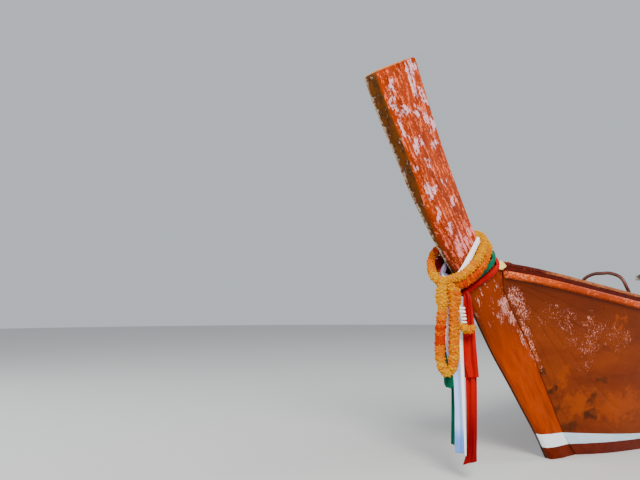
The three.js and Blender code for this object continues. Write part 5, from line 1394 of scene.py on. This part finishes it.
def satin(name, light, dark):
    """Plain satin with a fine weave and tone that drifts along the cloth."""
    cloth = Finish(name, Specular_IOR_Level=0.08)
    color = cloth.over(light, dark, cloth.noise(0.12, (1, 1, 0.3)), 0.35, 0.7)
    weave = cloth.noise(0.0016, (1, 0.25, 1), detail=1, on_surface=True)
    return cloth, cloth.over(color, dark, weave, 0.35, 0.65, 0.12), weave


SATIN_ROUGH = 0.45
SATIN_WEAVE = 0.0002
red_satin, color, weave = satin("red_satin", paint(176, 0, 0), paint(140, 0, 0))
low_end = red_satin.ramp(red_satin.along("Z"), 0.75, 0.25)
color = red_satin.mix(low_end * 0.65, color, paint(104, 0, 4))
# Painted shade: past 90 mm to starboard the red is painted dark maroon, on the fold seen through the garland
# ring
color = red_satin.over(color, paint(70, 4, 4), red_satin.along("Y"), -0.090, -0.096)
red_satin = red_satin.done(color, SATIN_ROUGH, weave, SATIN_WEAVE)
green_satin, color, weave = satin("green_satin", paint(0, 104, 72), paint(0, 66, 52))
green_satin = green_satin.done(color, SATIN_ROUGH, weave, SATIN_WEAVE)
# The white sash's broad end is painted pale blue as painted shade, deeper at its foot and along a fold;
# its turned edge and its band are white, the band painted lavender shade to starboard
white_satin, color, weave = satin("white_satin", paint(255, 252, 244), paint(238, 240, 250))
height = white_satin.along("Z")
seen_across = white_satin.node("ShaderNodeVectorMath", {"operation": "DOT_PRODUCT"}, {
    0: white_satin.node("ShaderNodeTexCoord", out="Object"), 1: HANG_ACROSS}, out="Value")
edge_place = seen_across - HANG_AT.dot(HANG_ACROSS) + (0.9 - height) * -0.018
# Painted shade: the broad end, turned from the light, is painted pale blue, deeper towards its foot and along
# a fold
shaded_panel = white_satin.ramp(edge_place, -0.024, -0.028) * white_satin.ramp(height, 1.36, 1.30)
deeper_shade = white_satin.ramp(height + (white_satin.noise(0.05) - 0.5) * 0.04, 0.420, 0.280)
fold_shade = white_satin.ramp((edge_place + 0.040) * (edge_place + 0.040), 0.00012, 0.00002)
shade = white_satin.mix(deeper_shade, paint(186, 206, 250), paint(104, 148, 224))
shade = white_satin.mix(fold_shade * 0.45, shade, paint(104, 136, 216))
# Painted light: pink at the top of the broad end, as red light showing through the thin cloth
shade = white_satin.over(shade, paint(246, 214, 222), height, 0.85, 1.05)
# Painted shade: to starboard the white band is painted lavender
in_shade = white_satin.ramp(white_satin.along("Y"), -0.010, -0.050)
color = white_satin.mix(in_shade * 0.9, color, paint(112, 98, 142))
color = white_satin.mix(shaded_panel, color, shade)
tucked = white_satin.ramp(white_satin.along("X"), 5.62, 5.54)
color = white_satin.mix(tucked, color, paint(255, 222, 124))
white_satin = white_satin.done(color, SATIN_ROUGH, weave, SATIN_WEAVE)
CLOTH_THICK = 0.0012
# Columns: scarf, finish, CAD node, slot, width and length of the flat sash
SASHES = (
    (red, red_satin, "scarf_red", "red_cloth", (0.15, 2.6)),
    (green, green_satin, "scarf_green", "green_cloth", (0.15, 2.4)),
    (white, white_satin, "scarf_white", "white_cloth", (0.15, 2.5)),
)
for sash, finish, node, slot, flat in SASHES:
    thicken(sash, CLOTH_THICK)
    fitted(sash, finish, nodes=[node])


# Garlands: marigold heads threaded on strings. Two strings lie side by side in a ring round the prow,
# two more hang from its front, and a short one of jasmine buds ends in a tassel of marigolds.
BLOOM_LOBES = 9
BLOOM_THICK = 0.34


def bloom():
    """One threaded flower head: a ruffled disc about its string, of unit radius."""
    lobes, thick = BLOOM_LOBES, BLOOM_THICK

    def ring(side):
        return [(*at, side * thick * (1 + 0.2 * (k % 2))) for k, at in enumerate(circle(0.62, lobes))]
    rim = []
    for k in range(2 * lobes):
        reach = 1.0 if k % 2 else 0.80
        wave = thick * {1: 0.75, 3: -0.75}.get(k % 4, 0)
        rim.append((reach * math.cos(math.pi * k / lobes), reach * math.sin(math.pi * k / lobes), wave))
    points = [(0, 0, thick), *ring(1), *rim, *ring(-1), (0, 0, -thick)]
    top, edge, low, last = 1, 1 + lobes, 1 + 3 * lobes, len(points) - 1
    faces = []
    for k in range(lobes):
        n, a, b, c = (k + 1) % lobes, edge + 2 * k, edge + 2 * k + 1, edge + (2 * k + 2) % (2 * lobes)
        faces += [(0, top + k, top + n), (last, low + n, low + k)]
        faces += [(top + k, a, b), (top + k, b, top + n), (top + n, b, c)]
        faces += [(b, a, low + k), (low + n, b, low + k), (c, b, low + n)]
    mesh = bpy.data.meshes.new("marigold")
    mesh.from_pydata(points, [], faces)
    reach = mesh.attributes.new("rim", "FLOAT", "POINT")
    for index, (x, y, _) in enumerate(points):
        reach.data[index].value = math.hypot(x, y)
    return piece("marigold", mesh, 50, solid=False)


def flower_string():
    """The node tree that threads heads along lines, sized by each point's girth."""
    tree = bpy.data.node_groups.new("flower_string", "GeometryNodeTree")
    tree.interface.new_socket("Geometry", in_out="OUTPUT", socket_type="NodeSocketGeometry")
    for label, kind in (("Lines", "Geometry"), ("Flower", "Object"), ("Pitch", "Float"), ("Lean", "Float"),
                        ("Seed", "Int"), ("Finish", "Material")):
        tree.interface.new_socket(label, in_out="INPUT", socket_type=f"NodeSocket{kind}")

    def node(kind, settings=(), inputs=(), out=0):
        made = tree.nodes.new(kind)
        for key, value in dict(settings).items():
            setattr(made, key, value)
        for key, value in dict(inputs).items():
            if isinstance(value, bpy.types.NodeSocket):
                tree.links.new(value, made.inputs[key])
            else:
                made.inputs[key].default_value = value
        return made.outputs[out] if made.outputs else None

    given = tree.nodes.new("NodeGroupInput").outputs

    def scattered(low, high, extra):
        seed = node("FunctionNodeIntegerMath", {"operation": "ADD"}, {0: given["Seed"], 1: extra})
        return node("FunctionNodeRandomValue", {"data_type": "FLOAT"}, {2: low, 3: high, "Seed": seed}, out=1)

    def times(first, second):
        return node("ShaderNodeMath", {"operation": "MULTIPLY"}, {0: first, 1: second})

    line = node("GeometryNodeMeshToCurve", {}, {0: given["Lines"]})
    spots = node("GeometryNodeCurveToPoints", {"mode": "LENGTH"}, {"Curve": line, "Length": given["Pitch"]})
    along = spots.node.outputs["Rotation"]
    lean = node("ShaderNodeCombineXYZ", {}, {
        0: times(given["Lean"], scattered(-1.0, 1.0, 1)), 1: times(given["Lean"], scattered(-1.0, 1.0, 2)),
        2: scattered(0.0, 2 * math.pi, 3)})
    turned_by = node("FunctionNodeRotateRotation", {"rotation_space": "LOCAL"}, {
        0: along, 1: node("FunctionNodeEulerToRotation", {}, {0: lean})})
    girth = node("GeometryNodeInputNamedAttribute", {"data_type": "FLOAT"}, {"Name": "girth"})
    flower = node("GeometryNodeObjectInfo", {}, {"Object": given["Flower"]})
    flower = flower.node.outputs["Geometry"]
    heads = node("GeometryNodeInstanceOnPoints", {}, {
        "Points": spots, "Instance": flower, "Rotation": turned_by,
        "Scale": times(girth, scattered(0.98, 1.22, 4))})
    toned = node("GeometryNodeStoreNamedAttribute", {"data_type": "FLOAT", "domain": "INSTANCE"}, {
        "Geometry": heads, "Name": "tone", "Value": scattered(0.0, 1.0, 5)})
    solid = node("GeometryNodeRealizeInstances", {}, {"Geometry": toned})
    dressed = node("GeometryNodeSetMaterial", {}, {"Geometry": solid, "Material": given["Finish"]})
    node("NodeGroupOutput", {}, {0: dressed})
    return tree


marigold = Finish("marigold_petals", Specular_IOR_Level=0.0)
tone = marigold.node("ShaderNodeAttribute", {"attribute_name": "tone"}, out="Fac")
tint = marigold.node("ShaderNodeAttribute", {"attribute_name": "tint"}, out="Fac")
rim = marigold.node("ShaderNodeAttribute", {"attribute_name": "rim"}, out="Fac")
petal = marigold.over(paint(212, 150, 0), paint(206, 104, 0), tint + (tone - 0.5) * 0.45, 0.0, 0.5)
petal = marigold.over(petal, paint(182, 42, 0), tint + (tone - 0.5) * 0.6, 0.5, 1.0)
# Tint values over 1 turn dark brown: painted shade on the strings that lie in shade
petal = marigold.over(petal, paint(92, 22, 0), tint + (tone - 0.5) * 0.4, 1.0, 1.5)
# Painted shade: towards its hub each head is painted darker orange, as shade between the packed heads
petal = marigold.over(petal, paint(150, 62, 0), rim, 0.95, 0.65, 0.55)
petals = marigold.done(petal, 0.75, marigold.noise(0.004), 0.0008)

PITCH = 0.0135
LEAN = 0.28
marigold_head = bloom()
threading = flower_string()
THREAD_INPUTS = {item.name: item.identifier for item in threading.interface.items_tree
                 if item.in_out == "INPUT"}


def strung(name, strings, seed):
    """Flower heads along strings. Columns of a string: x from the stem's foot, y, z, girth, tint (over 1:
    painted shade).
    """
    points, edges, girths, tints_and_shades = [], [], [], []
    for string in strings:
        start = len(points)
        for x, y, z, girth, tint in between(string, 8):
            points.append((x + STEM_X, y, z))
            girths.append(girth)
            tints_and_shades.append(tint)
        edges += [(i, i + 1) for i in range(start, len(points) - 1)]
    mesh = bpy.data.meshes.new(name)
    mesh.from_pydata(points, edges, [])
    for label, values in (("girth", girths), ("tint", tints_and_shades)):
        mesh.attributes.new(label, "FLOAT", "POINT").data.foreach_set("value", values)
    made = linked(name, mesh)
    threads = made.modifiers.new("threads", "NODES")
    threads.node_group = threading
    for label, value in (("Flower", marigold_head), ("Pitch", PITCH), ("Lean", LEAN), ("Seed", seed),
                         ("Finish", petals)):
        threads[THREAD_INPUTS[label]] = value
    return baked(made)


# Columns: x from the stem's foot, y, z of the ring's middle, then the tint of its upper and lower string;
# values over 1 are painted shade, darkest on the lower string to starboard
RING_ROWS = (
    (1.190, 0.010, 1.402, 0.10, 0.55), (1.130, 0.095, 1.432, 0.15, 0.80), (1.065, 0.113, 1.464, 0.20, 0.95),
    (0.984, 0.116, 1.516, 0.15, 0.90), (0.911, 0.115, 1.580, 0.10, 0.60), (0.855, 0.110, 1.650, 0.05, 0.30),
    (0.822, 0.104, 1.712, 0.00, 0.10), (0.826, 0.076, 1.756, 0.00, 0.05), (0.842, 0.000, 1.775, 0.10, 0.20),
    (0.840, -0.078, 1.765, 0.30, 0.60), (0.890, -0.125, 1.735, 0.50, 1.10),
    (0.980, -0.155, 1.695, 0.65, 1.40), (1.070, -0.168, 1.635, 0.65, 1.50),
    (1.125, -0.160, 1.565, 0.50, 1.45), (1.160, -0.124, 1.490, 0.30, 1.10),
    (1.186, -0.062, 1.430, 0.10, 0.50),
)
RING_TILT = math.atan2(0.430, 0.480)
STRING_APART = 0.032
RING_GIRTH = 0.034
ring_strings = []
for side, column in ((1, 3), (-1, 4)):
    away = (math.sin(RING_TILT) * STRING_APART * side, math.cos(RING_TILT) * STRING_APART * side)
    ring_strings.append([(row[0] + away[0], row[1] + max(-row[1], 0) * (0.16 if side < 0 else 0),
                          row[2] + away[1], RING_GIRTH, row[column]) for row in (*RING_ROWS, RING_ROWS[0])])
fitted(strung("garland_round_the_prow", ring_strings, 11), petals, nodes=["garland_ring"])


def hanging_row(left, right, z, tint, out=0.0):
    """A string's row from its edges as seen from ahead, in the hanging ends' measure."""
    at = DROP_AT + HANG_ACROSS * ((left + right) / 2) + HANG_OUT * out
    return (at.x - STEM_X, at.y, z, (right - left) / 2, tint)


DROP_AT = Vector((1.190 + STEM_X, 0.030, 0))
# Columns: left and right edge as seen from ahead, z, tint, reach ahead
DROP_ROWS = (
    ((-0.075, 0.005, 1.400, 0.05), (-0.088, 0.010, 1.330, 0.02), (-0.082, 0.004, 1.280, 0.05),
     (-0.074, -0.004, 1.230, 0.20), (-0.090, -0.014, 1.130, 0.60), (-0.098, -0.024, 1.020, 0.85),
     (-0.101, -0.028, 0.930, 0.50), (-0.099, -0.027, 0.860, 0.15), (-0.080, -0.010, 0.795, 0.12),
     (-0.052, 0.020, 0.778, 0.15), (-0.022, 0.048, 0.800, 0.25), (-0.008, 0.068, 0.866, 0.35),
     (0.000, 0.074, 1.000, 0.35), (0.005, 0.078, 1.150, 0.40), (0.006, 0.080, 1.260, 0.40),
     (-0.002, 0.072, 1.345, 0.35), (-0.010, 0.060, 1.400, 0.25)),
    ((0.030, 0.086, 1.375, 0.40, 0.004), (0.032, 0.098, 1.330, 0.45, 0.008),
     (0.036, 0.100, 1.285, 0.45, 0.006), (0.040, 0.086, 1.250, 0.50, 0.004)),
    ((0.066, 0.110, 1.118, 0.10), (0.072, 0.130, 1.098, 0.15, 0.006), (0.096, 0.158, 1.082, 0.30, 0.010),
     (0.128, 0.186, 1.082, 0.30, 0.010), (0.150, 0.194, 1.100, 0.15, 0.006)),
)
drop_strings = [[hanging_row(*row) for row in rows] for rows in DROP_ROWS]
fitted(strung("garland_down_the_front", drop_strings, 23), petals, nodes=["garland_drop"])

JASMINE_ROWS = ((0.099, 1.234), (0.101, 1.209), (0.104, 1.184), (0.107, 1.159), (0.109, 1.134))
JASMINE_BUDS = 9
JASMINE_REACH = 0.022
buds = []
for place, z in JASMINE_ROWS:
    middle = DROP_AT + HANG_ACROSS * place + Vector((0, 0, z))
    for k in range(JASMINE_BUDS):
        out = Matrix.Rotation(2 * math.pi * (k + place * 60) / JASMINE_BUDS, 3, "Z") @ Vector((1, 0, 0))
        tip = middle + out * JASMINE_REACH + Vector((0, 0, -0.002))
        buds.append(tube("jasmine_bud", [middle + out * 0.002, middle + out * 0.010, tip - out * 0.004, tip],
                         0.008, 8, [0.0060, 0.0082, 0.0078, 0.0030]))
bud_white = Finish("jasmine_white", Specular_IOR_Level=0.3)
shade = bud_white.over(paint(252, 250, 240), paint(232, 226, 206), bud_white.noise(0.01), 0.4, 0.7)
fitted(joined("jasmine_string", buds), bud_white.done(shade, 0.6))
bpy.data.objects.remove(marigold_head)


# Floor and light: a pale floor at the waterline, open where the hull stands in it, and soft lamps.
FLOOR_REACH = 40
FLOOR_HOLE = (TRANSOM_X + 0.02, 4.78)  # the x of its two ends
FLOOR_STEPS = 120
FLOOR_UNDER = 0.012             # the floor's edge lies this far inside the planking
TIP_HALF = 0.030                # where only the stem crosses the water
outline = []
for i in range(FLOOR_STEPS + 1):
    x = FLOOR_HOLE[0] + i / FLOOR_STEPS * (FLOOR_HOLE[1] - FLOOR_HOLE[0])
    found = side_at(x, 0, FLOOR_UNDER, 24)
    outline.append((x, found.y if abs(found.z) < 0.01 and station(x)[1] < 0 else TIP_HALF))
hole = [Vector((x, y, 0)) for x, y in outline] + [Vector((x, -y, 0)) for x, y in outline[::-1]]
far = [point.normalized() * FLOOR_REACH for point in hole]
count = len(hole)
ground = bpy.data.meshes.new("floor")
quads = [(i, (i + 1) % count, count + (i + 1) % count, count + i) for i in range(count)]
ground.from_pydata(hole + far, [], quads)
ground.materials.append(Finish("pale_floor", Base_Color=paint(206, 206, 204), Roughness=0.9).material)
linked("floor", ground)

# Columns: name, place, what it points at, size, watts, tint
LAMPS = (
    ("key", (12.0, 9.0, 9.0), (4.5, 0, 1.0), 5.0, 2400, (1.0, 0.97, 0.92)),
    ("fill", (14.0, -6.0, 5.0), (4.0, 0, 1.0), 6.0, 600, (0.94, 0.97, 1.0)),
    ("back", (-9.0, 7.0, 8.0), (-1.0, 0, 1.0), 6.0, 1200, (1.0, 1.0, 1.0)),
)
for name, at, target, size, watts, tint in LAMPS:
    light = bpy.data.lights.new(name, "AREA")
    light.size = size
    light.energy = watts
    light.color = tint
    lamp = linked(name, light)
    lamp.location = at
    lamp.rotation_euler = (Vector(target) - Vector(at)).to_track_quat("-Z", "Y").to_euler()
world = bpy.data.worlds.new("soft_sky")
world.use_nodes = True
world.node_tree.nodes["Background"].inputs["Color"].default_value = paint(214, 220, 226)
world.node_tree.nodes["Background"].inputs["Strength"].default_value = 0.85
scene.world = world
